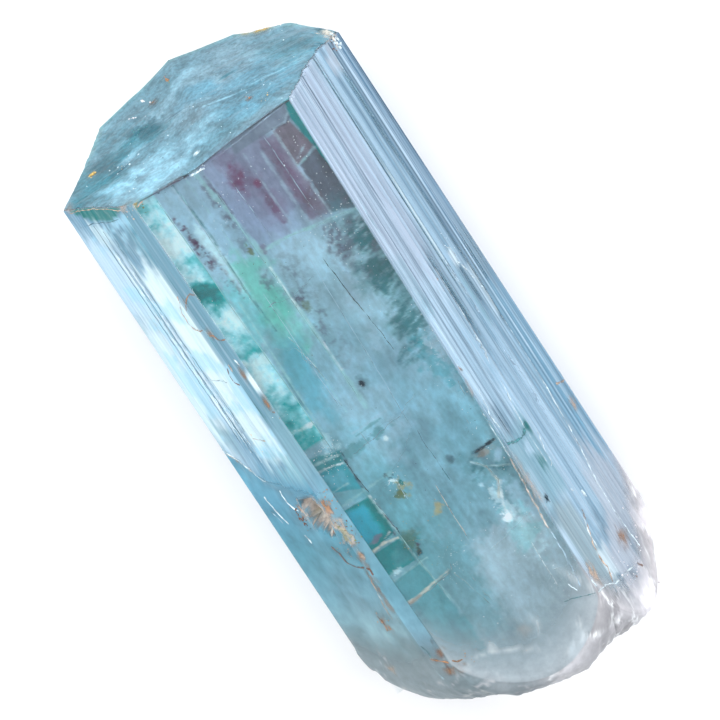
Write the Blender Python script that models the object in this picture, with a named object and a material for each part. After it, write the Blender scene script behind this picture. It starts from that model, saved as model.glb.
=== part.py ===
"""A natural aquamarine crystal: a striated six-sided beryl prism with a nearly flat grown top and a
broken, rounded foot.

The crystal is one piece and lies on its flat back face.  Its long axis runs along X, the grown top at +X
and the broken foot at -X.  Y runs across and Z up, and the origin is in the middle of the footprint.
Sizes below are in millimetres, and the mesh is made in metres.
"""

import bmesh
import bpy
import numpy as np
from mathutils import Euler, Matrix, Vector

MM = 0.001

# Driving dimensions.
LENGTH = 55.9                # foot to the highest point of the top
WIDTH = 25.4                 # across the two outermost edges
DEPTH = 17.8                 # back face to front face

# The prism's edges, anticlockwise seen from the top end.  Each has its place across and up at the top
# and at the foot, as shares of half the width and of the depth.
EDGES = (
    # name           top            foot
    ("back_right", (-0.480, 0.000), (-0.530, 0.000)),
    ("back_left", (0.520, 0.000), (0.430, 0.000)),
    ("left", (1.000, 0.590), (1.000, 0.580)),
    ("left_strip", (0.680, 0.955), (0.640, 0.955)),
    ("front_left", (0.600, 1.000), (0.530, 1.000)),
    ("front_right", (-0.527, 1.000), (-0.425, 1.000)),
    ("right", (-0.905, 0.540), (-0.880, 0.440)),
    ("right_strip", (-1.000, 0.360), (-1.000, 0.300)),
    ("low_right", (-0.800, 0.130), (-0.810, 0.100)),
)
# Columns of the mesh and depth of the growth striations on the face that follows each edge.
STRIPES = (9, 14, 16, 2, 11, 38, 8, 8, 6)
STRIPE_DEPTH = (0.0, 0.24, 0.30, 0.0, 0.035, 0.34, 0.20, 0.24, 0.16)
STRIPE_UNEVENNESS = 0.55     # share by which the stripes' widths differ
STRIPE_WAVE = 4.5            # a stripe deepens and fades over about six times this length
STRIPE_FADE = 0.76           # share of its depth that a stripe loses where it fades
STRIPE_SEED = 12

# Where each edge starts above the lowest point of the foot, and how far the break dips between edges.
FOOT_RIM = (3.6, 4.8, 10.8, 8.8, 8.2, 6.8, 4.0, 7.2, 5.0)
FOOT_ARCH = (1.0, 1.8, 1.6, 0.2, 4.6, 4.4, 0.3, 0.6, 0.8)
FOOT_CENTRE = (-4.0, 11.0)   # across and up, the lowest point of the foot
FOOT_ROUNDING = 0.42         # 0.5 is an ellipse, 1 a cone, and less than 0.5 blunter
FOOT_BITES = (
    # across, up, radius, depth of the shell-shaped scars of the break
    (-6.4, 12.2, 3.0, 0.5),
    (-4.6, 15.6, 3.2, 0.6),
    (1.6, 16.4, 3.6, 0.5),
    (6.4, 14.2, 4.4, 0.8),
    (8.8, 8.6, 4.6, 1.0),
    (3.6, 9.8, 4.8, 1.5),
    (-2.8, 8.4, 4.4, 1.3),
    (-9.4, 4.4, 3.4, 0.8),
    (-3.4, 2.6, 5.0, 1.6),
    (3.2, 3.2, 4.6, 1.4),
)
FOOT_CHIPS = 40              # small scars over the large ones
CHIP_RADIUS = (1.1, 2.5)
CHIP_DEPTH_SHARE = 0.20      # depth of a small scar for its radius
FOOT_SEED = 5
FOOT_INSET = 0.12            # how far inside the sides the break starts
RIM_RAGGEDNESS = 0.45        # height of the teeth where the break meets the sides

# The top: how far its near rim stays below the highest point, and how much it rises to the back.
TOP_RIM_Y = (-12.6, -6.0, -1.0, 2.4, 6.5, 9.5, 12.6)
TOP_RIM_DROP = (2.85, 2.45, 2.7, 3.0, 2.7, 2.5, 2.9)
TOP_RISE_Y = (-12.6, -10.2, -7.0, -3.0, -0.5, 3.5, 6.6, 12.6)
TOP_RISE = (-0.9, 0.6, 1.0, 2.0, 2.8, 2.0, 1.2, 0.3)
TOP_BEVEL = 0.55             # height of the worn bevel along the back rim
TOP_BEVEL_NEAR = 0.12        # share of that height left along the front rim
TOP_CENTRE = (0.0, 9.0)

ROWS = 24
TOP_RINGS = (0.965, 0.78, 0.5)
FOOT_RINGS = (0.985, 0.95, 0.90, 0.83, 0.75, 0.66, 0.56, 0.45, 0.34, 0.22)

# The smooth scar on the left face: its upper end, how much that end bows, its depth, the length of the
# step at its upper end, and where it starts to fade in above the foot.
LEFT_FACE = 2
SCAR_END = 0.0
SCAR_BOW = 2.6
SCAR_DEPTH = 0.42
SCAR_STEP = 1.5
SCAR_START = 6.0
SCAR_FADE = 8.0

# Knocked-out hollows: name, centre, half sizes and turn in degrees about X, Y and Z.
HOLLOWS = (
    ("stained_pit", (-3.4, 8.5, 17.5), (2.3, 1.2, 0.85), (-30, 0, 8)),
    ("stained_pit_tail", (-8.2, 8.3, 17.5), (3.6, 0.6, 0.5), (-30, 0, -3)),
    ("top_corner_chip", (26.2, -12.3, 7.6), (1.5, 1.3, 2.0), (20, 35, 0)),
    ("top_rim_notch", (25.1, 2.6, 18.0), (0.5, 1.4, 0.45), (0, 0, 12)),
    ("top_rim_lens", (24.9, 10.9, 13.9), (1.3, 0.55, 2.6), (30, 0, 0)),
    ("low_corner_chip", (-21.2, 12.7, 10.2), (2.4, 1.0, 1.5), (0, 20, 0)),
)


def lerp(a, b, share):
    """The point a share of the way from a to b."""
    return a + (b - a) * share


def section_corners():
    """Each edge's place across and up in millimetres, at the top and at the foot."""
    scale = np.array([WIDTH / 2, DEPTH])
    top = np.array([edge[1] for edge in EDGES]) * scale
    foot = np.array([edge[2] for edge in EDGES]) * scale
    return top, foot


def stripe_shares(count, rng):
    """Places of the columns across one face, from its first edge on: uneven steps that add up to 1."""
    widths = 1 + STRIPE_UNEVENNESS * rng.uniform(-1, 1, count)
    return np.concatenate(([0.0], np.cumsum(widths)[:-1])) / widths.sum()


def make_columns():
    """Every column of the side surface: its face and share, its place at both ends, the depth of its
    stripe and where along the crystal that stripe is deepest."""
    rng = np.random.default_rng(STRIPE_SEED)
    top, foot = section_corners()
    faces, shares, tops, foots, depths = [], [], [], [], []
    for face, count in enumerate(STRIPES):
        after = (face + 1) % len(EDGES)
        share = stripe_shares(count, rng)
        ridge = np.arange(count) % 2
        depth = STRIPE_DEPTH[face] * (0.25 + 0.75 * rng.random(count)) * ridge
        faces.append(np.full(count, face))
        shares.append(share)
        tops.append(lerp(top[face], top[after], share[:, None]))
        foots.append(lerp(foot[face], foot[after], share[:, None]))
        depths.append(depth)
    faces, shares = np.concatenate(faces), np.concatenate(shares)
    phases = rng.uniform(0, 2 * np.pi, len(faces))
    return faces, shares, np.concatenate(tops), np.concatenate(foots), np.concatenate(depths), phases


def inward(faces):
    """The unit direction into the crystal, across and up, of each column's face."""
    top, _ = section_corners()
    run = np.roll(top, -1, axis=0) - top
    normal = np.stack([-run[:, 1], run[:, 0]], axis=1)
    normal /= np.linalg.norm(normal, axis=1, keepdims=True)
    return normal[faces]


def top_height(y, z):
    """The top surface: the near rim's height plus a hump that rises in proportion to the distance
    behind the front face."""
    near = LENGTH / 2 - np.interp(y, TOP_RIM_Y, TOP_RIM_DROP)
    return near + np.interp(y, TOP_RISE_Y, TOP_RISE) * (1 - z / DEPTH)


def deepest_bowl(y, z, bowls):
    """Depth of the deepest of these scars at a place of the foot: each is a bowl with a sharp rim."""
    deepest = np.zeros_like(y)
    for across, up, radius, depth in bowls:
        distance = np.hypot(y - across, z - up) / radius
        deepest = np.maximum(deepest, depth * (1 - distance ** 2))
    return deepest


def small_scars():
    """Small scars strewn over the foot."""
    rng = np.random.default_rng(FOOT_SEED)
    across = rng.uniform(-WIDTH / 2, WIDTH / 2, FOOT_CHIPS)
    up = rng.uniform(0, DEPTH, FOOT_CHIPS)
    radius = rng.uniform(*CHIP_RADIUS, FOOT_CHIPS)
    return list(zip(across, up, radius, radius * CHIP_DEPTH_SHARE))


def foot_bites(y, z):
    """Depth of the break's scars: the large ones with the small ones on them."""
    return deepest_bowl(y, z, FOOT_BITES) + deepest_bowl(y, z, small_scars())


def foot_height(y, z, ring, rim):
    """The foot: a rounded end between the rim, at ring 1, and the lowest point, at ring 0, with scars."""
    round_end = (1 - ring ** 2) ** FOOT_ROUNDING
    low = -LENGTH / 2
    return lerp(rim, low, round_end) + foot_bites(y, z) * round_end


def scar_depth(x, faces, shares):
    """Depth of the smooth scar that takes the lower half of the left face, below a bowed step."""
    end = SCAR_END - SCAR_BOW * np.sin(np.pi * shares)
    step = np.clip((end - x) / SCAR_STEP, 0, 1)
    fade = np.clip((x + LENGTH / 2 - SCAR_START) / SCAR_FADE, 0, 1)
    crown = np.sin(np.pi * shares) ** 0.5
    return SCAR_DEPTH * (faces == LEFT_FACE) * step * fade * crown


def side_rows(columns):
    """The side surface as rows of points from the foot's rim to the top's rim."""
    faces, shares, tops, foots, depths, phases = columns
    edge_rim = np.array(FOOT_RIM)
    arch = np.array(FOOT_ARCH)[faces] * np.sin(np.pi * shares) ** 0.7
    rim = -LENGTH / 2 + lerp(edge_rim[faces], edge_rim[(faces + 1) % len(EDGES)], shares) - arch
    torn_rim = rim + RIM_RAGGEDNESS * np.abs(np.sin(phases)) * (depths > 0)
    bevel = TOP_BEVEL * np.interp(tops[:, 1] / DEPTH, (0.3, 0.74), (1, TOP_BEVEL_NEAR))
    lid = top_height(tops[:, 0], tops[:, 1]) - bevel
    into = inward(faces)
    rows = []
    for along in np.linspace(0, 1, ROWS):
        x = lerp(torn_rim, lid, along)
        place = lerp(foots, tops, (x / LENGTH + 0.5)[:, None])
        wave = 1 - STRIPE_FADE * (0.5 + 0.5 * np.sin(phases + x / STRIPE_WAVE))
        sunk = depths * wave + scar_depth(x, faces, shares)
        rows.append(np.column_stack([x, place + into * sunk[:, None]]))
    bare_foot = lerp(foots, tops, (rim / LENGTH + 0.5)[:, None]) + into * FOOT_INSET
    return rows, rim, bare_foot


def surface_points():
    """All vertices, row by row: the foot's pole and rings, the side, and the top's rings and pole."""
    rows, rim, bare_foot = side_rows(make_columns())
    foot_rows = []
    for ring in reversed(FOOT_RINGS):
        place = lerp(np.array(FOOT_CENTRE), bare_foot, ring)
        x = foot_height(place[:, 0], place[:, 1], ring, rim)
        foot_rows.append(np.column_stack([x, place]))
    top_rows = []
    for ring in TOP_RINGS:
        place = lerp(np.array(TOP_CENTRE), rows[-1][:, 1:], ring)
        x = top_height(place[:, 0], place[:, 1])
        top_rows.append(np.column_stack([x, place]))
    low = np.array([[-LENGTH / 2, *FOOT_CENTRE]])
    high = np.array([[float(top_height(*TOP_CENTRE)), *TOP_CENTRE]])
    return low, foot_rows + rows + top_rows, high


def ring_faces(row_count, columns):
    """Quads between neighbouring rows, and a fan of triangles on each pole."""
    faces = []
    for row in range(row_count - 1):
        first = 1 + row * columns
        for column in range(columns):
            after = (column + 1) % columns
            faces.append((first + column, first + after, first + columns + after, first + columns + column))
    last = 1 + (row_count - 1) * columns
    pole = last + columns
    for column in range(columns):
        after = (column + 1) % columns
        faces.append((0, 1 + after, 1 + column))
        faces.append((last + column, last + after, pole))
    return faces


def beryl_material():
    """Pale blue-green glassy beryl."""
    material = bpy.data.materials.new("beryl")
    material.use_nodes = True
    shader = material.node_tree.nodes["Principled BSDF"]
    shader.inputs["Base Color"].default_value = (0.33, 0.55, 0.60, 1)
    shader.inputs["Roughness"].default_value = 0.08
    shader.inputs["Metallic"].default_value = 0.0
    shader.inputs["IOR"].default_value = 1.57
    return material


def new_object(name, vertices, faces):
    """An object with this mesh, its vertices given in millimetres."""
    mesh = bpy.data.meshes.new(name)
    mesh.from_pydata((np.asarray(vertices) * MM).tolist(), [], faces)
    mesh.update()
    piece = bpy.data.objects.new(name, mesh)
    bpy.context.scene.collection.objects.link(piece)
    return piece


def make_crystal():
    """The whole crystal as one closed mesh."""
    low, rows, high = surface_points()
    vertices = np.concatenate([low, *rows, high])
    piece = new_object("crystal", vertices, ring_faces(len(rows), len(rows[0])))
    piece.data.materials.append(beryl_material())
    return piece


def add_cutter(piece, name, centre, half_sizes, turn):
    """Cuts a small knocked-out hollow: an ellipsoid with these half sizes, turned in degrees."""
    form = bmesh.new()
    place = Matrix.Translation(Vector(centre) * MM)
    place = place @ Euler(np.radians(turn)).to_matrix().to_4x4()
    place = place @ Matrix.Diagonal((*(Vector(half_sizes) * MM), 1))
    bmesh.ops.create_icosphere(form, subdivisions=2, radius=1, matrix=place)
    mesh = bpy.data.meshes.new(name)
    form.to_mesh(mesh)
    form.free()
    cutter = bpy.data.objects.new(name, mesh)
    bpy.context.scene.collection.objects.link(cutter)
    cutter.hide_render = True
    cutter.display_type = "WIRE"
    cut = piece.modifiers.new(name, "BOOLEAN")
    cut.operation = "DIFFERENCE"
    cut.solver = "EXACT"
    cut.object = cutter


for leftover in list(bpy.data.objects):
    bpy.data.objects.remove(leftover, do_unlink=True)
crystal = make_crystal()
for hollow in HOLLOWS:
    add_cutter(crystal, *hollow)
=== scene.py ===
"""A natural aquamarine crystal lying on its flat back, looked down on by the camera."""

import itertools
import math

import bpy
import numpy as np
from mathutils import Matrix, Vector


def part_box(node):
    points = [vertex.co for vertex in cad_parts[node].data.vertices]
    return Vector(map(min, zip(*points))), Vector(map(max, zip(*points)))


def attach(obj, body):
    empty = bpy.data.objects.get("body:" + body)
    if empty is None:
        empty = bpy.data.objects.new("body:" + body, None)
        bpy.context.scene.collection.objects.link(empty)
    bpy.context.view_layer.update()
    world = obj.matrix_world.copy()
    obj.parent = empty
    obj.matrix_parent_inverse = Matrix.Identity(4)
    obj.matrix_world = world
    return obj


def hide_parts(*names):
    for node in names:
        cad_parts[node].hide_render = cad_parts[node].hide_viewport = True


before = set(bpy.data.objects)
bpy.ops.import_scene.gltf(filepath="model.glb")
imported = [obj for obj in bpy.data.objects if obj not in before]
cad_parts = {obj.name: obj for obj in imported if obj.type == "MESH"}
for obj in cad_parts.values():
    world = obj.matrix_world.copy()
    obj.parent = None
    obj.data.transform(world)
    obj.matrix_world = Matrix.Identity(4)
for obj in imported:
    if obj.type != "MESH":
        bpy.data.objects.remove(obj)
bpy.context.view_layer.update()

MM = 0.001

# ---------------------------------------------------------------------------------------------------
# The crystal.  One piece of clear blue-green beryl that grew as a six-sided prism: smooth in front,
# striated along its length on the other faces, nearly flat at the grown top, and broken off at the foot.
# It lies on its flat back face.  Lengths in millimetres, X along the prism, Y across, Z up.

BOX_LOW, BOX_HIGH = (np.array(corner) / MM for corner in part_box("crystal"))
HALF_LENGTH = -BOX_LOW[0]
HALF_WIDTH = BOX_HIGH[1]
DEPTH = BOX_HIGH[2] - 0.045    # leaves room for the films on the front face

# The prism's nine edges at the top and at the foot, anticlockwise seen from the top end: across and up,
# as shares of half the width and of the depth.  Each face runs from its own edge to the next one.
EDGES_TOP = np.array([(-0.48, 0.0), (0.56, 0.0), (0.985, 0.59), (0.68, 0.955), (0.6, 1.0),
                      (-0.527, 1.0), (-0.905, 0.54), (-1.0, 0.36), (-0.8, 0.13)])
EDGES_FOOT = np.array([(-0.53, 0.0), (0.43, 0.0), (1.0, 0.58), (0.64, 0.955), (0.53, 1.0),
                       (-0.425, 1.0), (-0.88, 0.44), (-1.0, 0.3), (-0.81, 0.1)])
BACK, LOW_LEFT, LEFT, LEFT_STRIP, FRONT, RIGHT, RIGHT_STRIP, LOW_RIGHT, LOW_STRIP = range(9)

# The mesh: columns of points across each face, rows along the prism, rings on the top and on the break.
SIDE_COLUMNS = (12, 50, 84, 10, 60, 132, 34, 34, 22)
SIDE_ROWS = 130
TOP_RING_COUNT = 40
FOOT_RING_COUNT = 44
OUTER_RING = 0.985               # the outermost ring, as a share of the way out to the rim

# Stripes on each face: how many, their widths as shares of the face, and the deepest one.
STRIPE_COUNT = (0, 46, 40, 4, 30, 150, 26, 34, 20)
STRIPE_WIDTH = (0.05, 0.05, 0.08, 0.2, 0.05, 0.022, 0.08, 0.06, 0.08)
STRIPE_DEPTH = (0.0, 0.2, 0.16, 0.03, 0.02, 0.24, 0.18, 0.2, 0.14)
STRIPE_END = (-40, -40, -1.5, -3, -40, -26, -40, -40, -40)         # where the stripes have faded out
STRIPE_FADE = (4, 4, 3, 3, 4, 26, 4, 4, 4)                          # and over what length
EDGE_WEAR = (0.0, 0.02, 0.16, 0.1, 0.05, 0.08, 0.14, 0.12, 0.08)   # how far each edge is worn back
EDGE_WEAR_REACH = 0.4                                              # and how far to each side of it

# Upper end of the smooth scar on the left face: shares across the face and places along the crystal.
SCAR_SHARES = (0, 0.06, 0.18, 0.29, 0.43, 0.6, 0.8, 1)
SCAR_TOP = (2.5, 2.0, 1.4, -0.2, -0.9, -1.3, -1.8, -2.4)

# The break: how far its rim lies above the lowest point at each edge and bows down across each face,
# the rings' middle (across, up), how blunt the end is, and large bites (across, up, radius, depth).
FOOT_RIM = np.array([3.6, 4.8, 10.8, 8.8, 8.2, 6.8, 4.0, 7.2, 5.0])
FOOT_ARCH = np.array([1.0, 1.8, 1.6, 0.2, 4.6, 4.4, 0.3, 0.6, 0.8])
FOOT_CENTRE = np.array([-4.0, 11.0])
FOOT_ROUNDING = 0.42
FOOT_BITES = np.array([(-6.4, 12.2, 3.0, 0.5), (-4.6, 15.6, 3.2, 0.6), (1.6, 16.4, 3.6, 0.5),
                       (6.4, 14.2, 4.4, 0.8), (8.8, 8.6, 4.6, 1.0), (3.6, 9.8, 4.8, 1.5),
                       (-2.8, 8.4, 4.4, 1.3), (-9.4, 4.4, 3.4, 0.8), (-3.4, 2.6, 5.0, 1.6),
                       (3.2, 3.2, 4.6, 1.4)])

# The top: how far its rim lies below the highest point along the front face, how far it rises from
# there to the back face, how far its rim is worn down at the back, and in front as a share of that.
TOP_RIM_Y = (-12.6, -6.0, -1.0, 2.4, 6.5, 9.5, 12.6)
TOP_RIM_DROP = (2.85, 2.45, 2.7, 3.0, 2.7, 2.5, 2.3)
TOP_RISE_Y = (-12.6, -10.2, -7.0, -3.0, -0.5, 3.5, 6.6, 12.6)
TOP_RISE = (-0.9, 0.6, 1.0, 2.0, 2.8, 2.0, 1.2, 0.3)
TOP_BEVEL = 0.55
TOP_BEVEL_NEAR = 0.12
TOP_CENTRE = np.array([0.0, 9.0])

# Knocked-out hollows: centre, half sizes and turn in degrees about X, Y and Z.
HOLLOWS = (
    ((-4.4, 9.2, 15.9), (1.8, 1.0, 1.8), (-30, 0, 8)),
    ((-8.2, 8.3, 17.5), (3.6, 0.6, 0.5), (-30, 0, -3)),
    ((26.2, -12.3, 7.6), (1.5, 1.3, 2.0), (20, 35, 0)),
    ((25.1, 2.6, 18.0), (0.5, 1.4, 0.45), (0, 0, 12)),
    ((24.9, 10.9, 13.9), (1.3, 0.55, 2.6), (30, 0, 0)),
    ((-21.2, 12.7, 10.2), (2.4, 1.0, 1.5), (0, 20, 0)),
)


def blend(a, b, share):
    """The value a share of the way from a to b."""
    return a + (b - a) * share


def eased(share):
    """A share from 0 to 1 that leaves 0 and reaches 1 gently."""
    return share * share * (3 - 2 * share)


def ripple(points, size, seed, waves=24):
    """Smooth random relief from -1 to 1 or so: the sum of plane waves of about this size that run in
    random directions, for points in rows of two or three coordinates."""
    rng = np.random.default_rng(seed)
    direction = rng.normal(size=(waves, points.shape[-1]))
    direction /= np.linalg.norm(direction, axis=1, keepdims=True)
    number = 2 * np.pi / (size * rng.uniform(0.7, 1.6, waves))
    phase = rng.uniform(0, 2 * np.pi, waves)
    total = np.zeros(points.shape[:-1])
    for wave in range(waves):
        total += np.sin(points @ direction[wave] * number[wave] + phase[wave])
    return total / math.sqrt(waves)


def cloud(points, size, seed, octaves=4):
    """Fractal noise from about -1 to 1, for points in rows of two or three coordinates: random values on
    a lattice of this spacing, smoothly blended in between, with finer and weaker copies added."""
    table = np.random.default_rng(seed).uniform(-1, 1, 4096)
    mixer = np.array([73856093, 19349663, 83492791])[:points.shape[-1]]
    total = np.zeros(points.shape[:-1])
    for octave in range(octaves):
        place = points * (2 ** octave / size) + 31.7 * octave
        cell = np.floor(place).astype(np.int64)
        share = eased(place - cell)
        for corner in itertools.product((0, 1), repeat=points.shape[-1]):
            mixed = np.bitwise_xor.reduce((cell + np.array(corner)) * mixer, axis=-1)
            value = table[(mixed ^ (mixed >> 13)) & 4095]
            total += 0.62 ** octave * value * np.where(corner, share, 1 - share).prod(axis=-1)
    return total


def side_columns():
    """The face and the share across it of every column round the prism, evenly spaced on each face."""
    faces = np.concatenate([np.full(count, face) for face, count in enumerate(SIDE_COLUMNS)])
    shares = np.concatenate([np.arange(count) / count for count in SIDE_COLUMNS])
    return faces, shares


def section(faces, shares, x):
    """Places across and up of the plain prism: between the edges at the foot and at the top, in
    proportion to x, and between a face's two edges by its share."""
    scale = np.array([HALF_WIDTH, DEPTH])
    after = (faces + 1) % len(EDGES_TOP)
    top = blend(EDGES_TOP[faces], EDGES_TOP[after], shares[..., None]) * scale
    foot = blend(EDGES_FOOT[faces], EDGES_FOOT[after], shares[..., None]) * scale
    return blend(foot, top, (x / (2 * HALF_LENGTH) + 0.5)[..., None])


def inward(faces, shares):
    """Unit directions into the prism, across and up: each face's own, turned halfway to the next
    face's close to an edge."""
    run = (np.roll(EDGES_TOP, -1, axis=0) - EDGES_TOP) * np.array([HALF_WIDTH, DEPTH])
    width = np.linalg.norm(run, axis=1)
    normal = np.stack([-run[:, 1], run[:, 0]], axis=1) / width[:, None]
    count = len(normal)
    start = np.clip(1 - shares * width[faces] / EDGE_WEAR_REACH, 0, 1)[..., None]
    end = np.clip(1 - (1 - shares) * width[faces] / EDGE_WEAR_REACH, 0, 1)[..., None]
    mix = normal[faces] + start * normal[(faces - 1) % count] + end * normal[(faces + 1) % count]
    return mix / np.linalg.norm(mix, axis=-1, keepdims=True), start[..., 0] + end[..., 0]


def edge_wear(faces, shares):
    """How far the nearest edge of each face is worn back."""
    wear = np.array(EDGE_WEAR)
    return np.where(shares < 0.5, wear[faces], wear[(faces + 1) % len(wear)])


def stripe_relief(faces, shares, x):
    """Depth of the growth stripes: on each face a number of flat-bottomed grooves of random width and
    depth, each over its own stretch of the length, the deepest one winning, fading out towards the foot."""
    rng = np.random.default_rng(21)
    depth = np.zeros_like(x)
    for face, count in enumerate(STRIPE_COUNT):
        here = faces == face
        u = shares[here]
        along = x[here]
        deepest = np.zeros_like(u)
        for _ in range(count):
            centre = rng.random()
            half = STRIPE_WIDTH[face] * rng.uniform(0.25, 1.0) / 2
            deep = STRIPE_DEPTH[face] * rng.uniform(0.15, 1.0)
            middle = rng.uniform(-30, 30)
            reach = rng.uniform(8, 45)
            groove = np.clip((half - np.abs(u - centre)) / (0.25 * half), 0, 1)
            stretch = np.clip((reach - np.abs(along - middle)) / 4.0, 0, 1)
            deepest = np.maximum(deepest, deep * groove * stretch)
        depth[here] = deepest * np.clip((along - STRIPE_END[face]) / STRIPE_FADE[face], 0, 1)
    return depth


def scar_relief(faces, shares, x):
    """Depth of the smooth shell-shaped scar on the lower half of the left face: a step below its bowed
    upper end, deepest across the middle of the face and fading towards the foot."""
    step = np.clip((np.interp(shares, SCAR_SHARES, SCAR_TOP) - x) / 0.7, 0, 1)
    fade = np.clip((x + HALF_LENGTH - 6) / 8, 0, 1)
    shallow = np.interp(shares, (0.35, 0.65), (1, 0.25))
    return 0.26 * (faces == LEFT) * step * fade * shallow * np.sqrt(np.sin(np.pi * shares))


def top_height(y, z):
    """The top surface: the height of its near rim and a hump in proportion to the distance behind the
    front face."""
    near = HALF_LENGTH - np.interp(y, TOP_RIM_Y, TOP_RIM_DROP)
    return near + np.interp(y, TOP_RISE_Y, TOP_RISE) * (1 - z / DEPTH)


def deepest_bowl(y, z, bowls):
    """Depth of the deepest of these bowls with sharp rims, each across, up, radius and depth."""
    deepest = np.zeros_like(y)
    for across, up, radius, depth in bowls:
        distance = np.hypot(y - across, z - up) / radius
        deepest = np.maximum(deepest, depth * (1 - distance ** 2))
    return deepest


def foot_rim(faces, shares):
    """Height of the rim of the break, from edge to edge with an arch across each face."""
    after = (faces + 1) % len(FOOT_RIM)
    arch = FOOT_ARCH[faces] * np.sin(np.pi * shares) ** 0.7
    return -HALF_LENGTH + blend(FOOT_RIM[faces], FOOT_RIM[after], shares) - arch


def foot_surface(faces, shares, rings):
    """The break: a blunt rounded end from its rim, at ring 1, to its lowest point, at ring 0, bitten
    by large and small shell-shaped scars and grained all over."""
    rim = foot_rim(faces, shares)
    outline = section(faces, shares, rim) + inward(faces, shares)[0] * 0.05
    place = blend(FOOT_CENTRE, outline[None], rings[:, None, None])
    round_end = ((1 - rings ** 2) ** FOOT_ROUNDING)[:, None]
    rng = np.random.default_rng(5)
    radius = rng.uniform(0.7, 2.4, 70)
    small = np.column_stack([rng.uniform(-HALF_WIDTH, HALF_WIDTH, 70), rng.uniform(0, DEPTH, 70),
                             radius, radius * 0.2])
    y, z = place[..., 0], place[..., 1]
    scars = deepest_bowl(y, z, FOOT_BITES) + deepest_bowl(y, z, small)
    scars = scars + 0.1 * (1 + ripple(place, 0.9, 8))
    x = blend(rim[None], -HALF_LENGTH, round_end) + scars * round_end
    return np.concatenate([x[..., None], place], axis=-1)


def turned(degrees):
    """Rotation matrix about X, then Y, then Z."""
    a, b, c = np.radians(degrees)
    about_x = np.array([[1, 0, 0], [0, np.cos(a), -np.sin(a)], [0, np.sin(a), np.cos(a)]])
    about_y = np.array([[np.cos(b), 0, np.sin(b)], [0, 1, 0], [-np.sin(b), 0, np.cos(b)]])
    about_z = np.array([[np.cos(c), -np.sin(c), 0], [np.sin(c), np.cos(c), 0], [0, 0, 1]])
    return about_z @ about_y @ about_x


def knock_out(points, into, centre, half_sizes, turn, rough=0.0):
    """Moves the points that lie in an ellipsoid along their inward directions to its far wall, and
    returns the points and how deep each one went."""
    axes = turned(turn) / np.array(half_sizes)
    place = (points - np.array(centre)) @ axes
    if rough:
        place = place * (1 + rough * ripple(points, 0.8, 31))[..., None]
    way = into @ axes
    inside = (place ** 2).sum(-1) < 1
    a = (way ** 2).sum(-1)
    b = (place * way).sum(-1)
    c = (place ** 2).sum(-1) - 1
    travel = np.where(inside, (-b + np.sqrt(np.maximum(b ** 2 - a * c, 0))) / a, 0)
    return points + into * travel[..., None], travel


def ring_mesh(name, rows, low, high):
    """A closed mesh from rows of points, all with the same number of columns, and a pole at each end.
    Quads join neighbouring rows, and a fan of triangles closes each end."""
    row_count, columns = rows.shape[:2]
    points = np.concatenate([low[None], rows.reshape(-1, 3), high[None]])
    column = np.arange(columns)
    after = (column + 1) % columns
    first = 1 + np.arange(row_count - 1)[:, None] * columns
    quads = np.stack([first + column, first + after, first + columns + after, first + columns + column],
                     axis=-1).reshape(-1, 4)
    last = 1 + (row_count - 1) * columns
    fans = np.concatenate([
        np.column_stack([np.zeros(columns, int), 1 + after, 1 + column]),
        np.column_stack([last + column, last + after, np.full(columns, last + columns)]),
    ])
    mesh = bpy.data.meshes.new(name)
    mesh.vertices.add(len(points))
    mesh.vertices.foreach_set("co", (points * MM).astype(np.float32).ravel())
    mesh.loops.add(quads.size + fans.size)
    mesh.loops.foreach_set("vertex_index", np.concatenate([quads.ravel(), fans.ravel()]).astype(np.int32))
    starts = np.concatenate([np.arange(len(quads)) * 4, quads.size + np.arange(len(fans)) * 3])
    mesh.polygons.add(len(starts))
    mesh.polygons.foreach_set("loop_start", starts.astype(np.int32))
    mesh.update(calc_edges=True)
    mesh.validate()
    piece = bpy.data.objects.new(name, mesh)
    bpy.context.scene.collection.objects.link(piece)
    return piece


def streaks(shares, x, count, width, rng, reach=(8, 45), edge=0.4):
    """Soft bars along a face: the strongest, from 0 to 1, of a number of bars of random place, width,
    stretch and strength."""
    strongest = np.zeros_like(x)
    for _ in range(count):
        centre = rng.random()
        half = width * rng.uniform(0.25, 1.0) / 2
        strength = rng.uniform(0.35, 1.0)
        middle = rng.uniform(-28, 28)
        stretch = rng.uniform(*reach)
        bar = np.clip((half - np.abs(shares - centre)) / (edge * half), 0, 1)
        run = np.clip((stretch - np.abs(x - middle)) / 6.0, 0, 1)
        strongest = np.maximum(strongest, strength * bar * run)
    return strongest


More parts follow.
